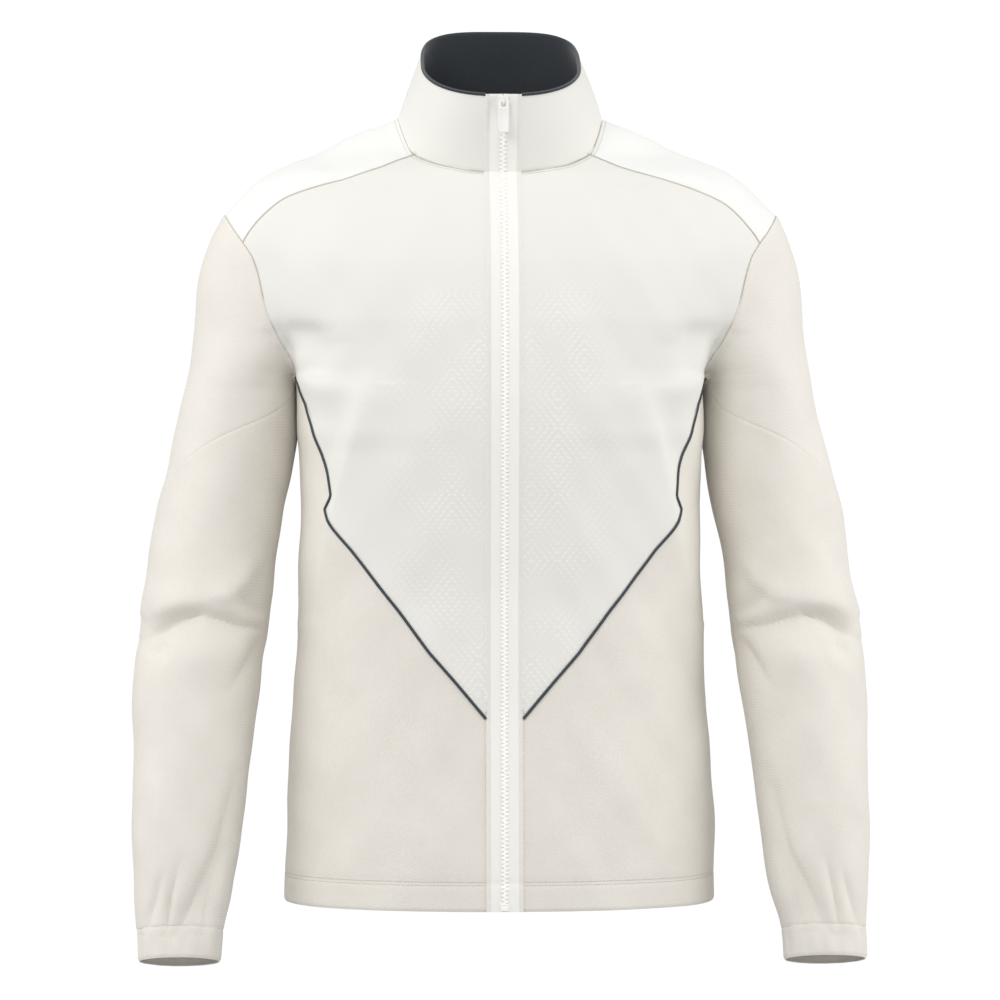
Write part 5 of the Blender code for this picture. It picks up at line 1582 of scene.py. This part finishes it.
def joined(pieces, name):
    select(*pieces)
    bpy.ops.object.join()
    piece = bpy.context.object
    piece.name = name
    return piece


def finishHard(piece, matrix, material, body, node):
    piece.data.transform(matrix)
    piece.data.materials.clear()
    piece.data.materials.append(material)
    smoothUpTo(piece, 35)
    fit(piece, "zip_plastic", node, body=body)


sliderBoxes = (
    # name, size, middle and rounding of each part: two plates, a post, the pull's arch and two raised rims
    ("sliderFront", (0.0090, 0.0012, 0.0105), (0, -0.0013, -0.00025), 0.0005),
    ("sliderBack", (0.0090, 0.0012, 0.0105), (0, 0.0024, -0.00025), 0.0005),
    ("sliderPost", (0.0048, 0.0030, 0.0039), (0, 0.0007, 0.00245), 0.0003),
    ("archLow", (0.0018, 0.0035, 0.0009), (0, -0.00295, -0.00295), 0.0003),
    ("archHigh", (0.0018, 0.0035, 0.0009), (0, -0.00295, 0.00295), 0.0003),
    ("archTop", (0.0018, 0.0008, 0.0068), (0, -0.0043, 0), 0.0003),
    ("rightRim", (0.0009, 0.0009, 0.0092), (-0.0040, -0.0018, -0.0002), 0.0003),
    ("leftRim", (0.0009, 0.0009, 0.0092), (0.0040, -0.0018, -0.0002), 0.0003),
)
stopBoxes = (
    ("stopBox", (0.0068, 0.0029, 0.0066), (0, 0.0005, 0.0034), 0.0006),
    ("stopLip", (0.0060, 0.0012, 0.0012), (0, -0.0008, 0.0060), 0.0004),
)
zipSlider = joined([roundedBox(*box) for box in sliderBoxes], "zipSlider")
finishHard(zipSlider, zipFrame(zipper["sliderHeight"]), cloths["slider"], garment, "zip_slider")
zipStop = joined([roundedBox(*box) for box in stopBoxes], "zipBottomStop")
finishHard(zipStop, zipFrame(form["hem"] + zipper["stopUp"]), cloths["teeth"], garment, "zip_bottom_stop")

tab = {
    "width": 0.0096,
    "length": 0.0277,
    "thickness": 0.0012,
    "top": 0.0007,
    "corners": ((-1, 0.0019, 6), (1, 0.0006, 4)),  # the lower and the upper pair: rounding and its steps
    "slotWidth": 0.0036,
    "slotFrom": -0.0007,
    "slotTo": -0.0045,
    "panelSize": (0.0064, 0.0008, 0.0176),
    "panelDeep": 0.00022,
    "panelMiddle": -0.0158,
    "softEdge": 0.00018,
}


def makeTab():
    middle = tab["top"] - tab["length"] / 2
    plate = roundedBox("zipPullTab", (tab["width"], tab["thickness"], tab["length"]), (0, 0, middle), 0)

    def roundCorners(mesh):
        for end, radius, steps in tab["corners"]:
            height = middle + end * tab["length"] / 2
            through = []
            for edge in mesh.edges:
                near, far = (corner.co for corner in edge.verts)
                if abs(near.y - far.y) > tab["thickness"] * 0.4 and abs(near.z - height) < 1e-5:
                    through.append(edge)
            bmesh.ops.bevel(mesh, geom=through, offset=radius, segments=steps, affect="EDGES", profile=0.5)

    reshaped(plate, roundCorners)
    slotSize = (tab["slotWidth"], tab["thickness"] * 5, tab["slotFrom"] - tab["slotTo"])
    panelAt = (0, -tab["thickness"] / 2 - tab["panelDeep"], tab["panelMiddle"])
    cutters = [
        roundedBox("slotCutter", slotSize, (0, 0, (tab["slotFrom"] + tab["slotTo"]) / 2), 0.0004, 2),
        roundedBox("panelCutter", tab["panelSize"], panelAt, 0.0003, 2),
    ]
    for cutter in cutters:
        applied(plate, "cut", "BOOLEAN", {"operation": "DIFFERENCE", "object": cutter, "solver": "EXACT"})
        bpy.data.objects.remove(cutter, do_unlink=True)
    soft = {"width": tab["softEdge"], "segments": 2, "limit_method": "ANGLE", "angle_limit": math.radians(50)}
    applied(plate, "softEdges", "BEVEL", soft)
    return plate


zipPullTab = makeTab()
hingeAt = Vector(frame["joints"][0]["pos_m"])
finishHard(zipPullTab, Matrix.Translation(hingeAt), cloths["slider"], "pull_tab", "zip_pull_tab")
print("zip made")

# what each cloth piece was cut to, in metres, and what it hangs from
clothCuts = (
    # pieces, node, slot, flat width and length, flat area, how it is held, and the pieces above that hold it
    (chests, "chest_", "chest_knit", (0.245, 0.510), 0.076, "hung", ("yoke",)),
    (lowerFronts, "lower_front_", "twill_knit", (0.310, 0.480), 0.101, "hung", ("chest",)),
    (yokes, "yoke_", "yoke_knit", (0.235, 0.200), 0.0307, "draped", ()),
    (upperSleeves, "upper_sleeve_", "ribbed_knit", (0.501, 0.262), 0.0497, "hung", ("yoke",)),
    (lowerSleeves, "lower_sleeve_", "twill_knit", (0.457, 0.500), 0.1526, "hung", ("upperSleeve",)),
    (cuffs, "cuff_", "twill_knit", (0.234, 0.028), 0.0062, "gathered", ("lowerSleeve",)),
)
for one, (side, sign) in enumerate(sides):
    for pieces, node, slotName, flat, area, held, above in clothCuts:
        above = [name + side for name in above]
        wear(pieces[one], node + side.lower(), slotName)
wear(backPanel, "back", "twill_knit")
wear(collarOuter, "collar_outer", "chest_knit")
wear(collarFacing, "collar_facing", "dark_knit")
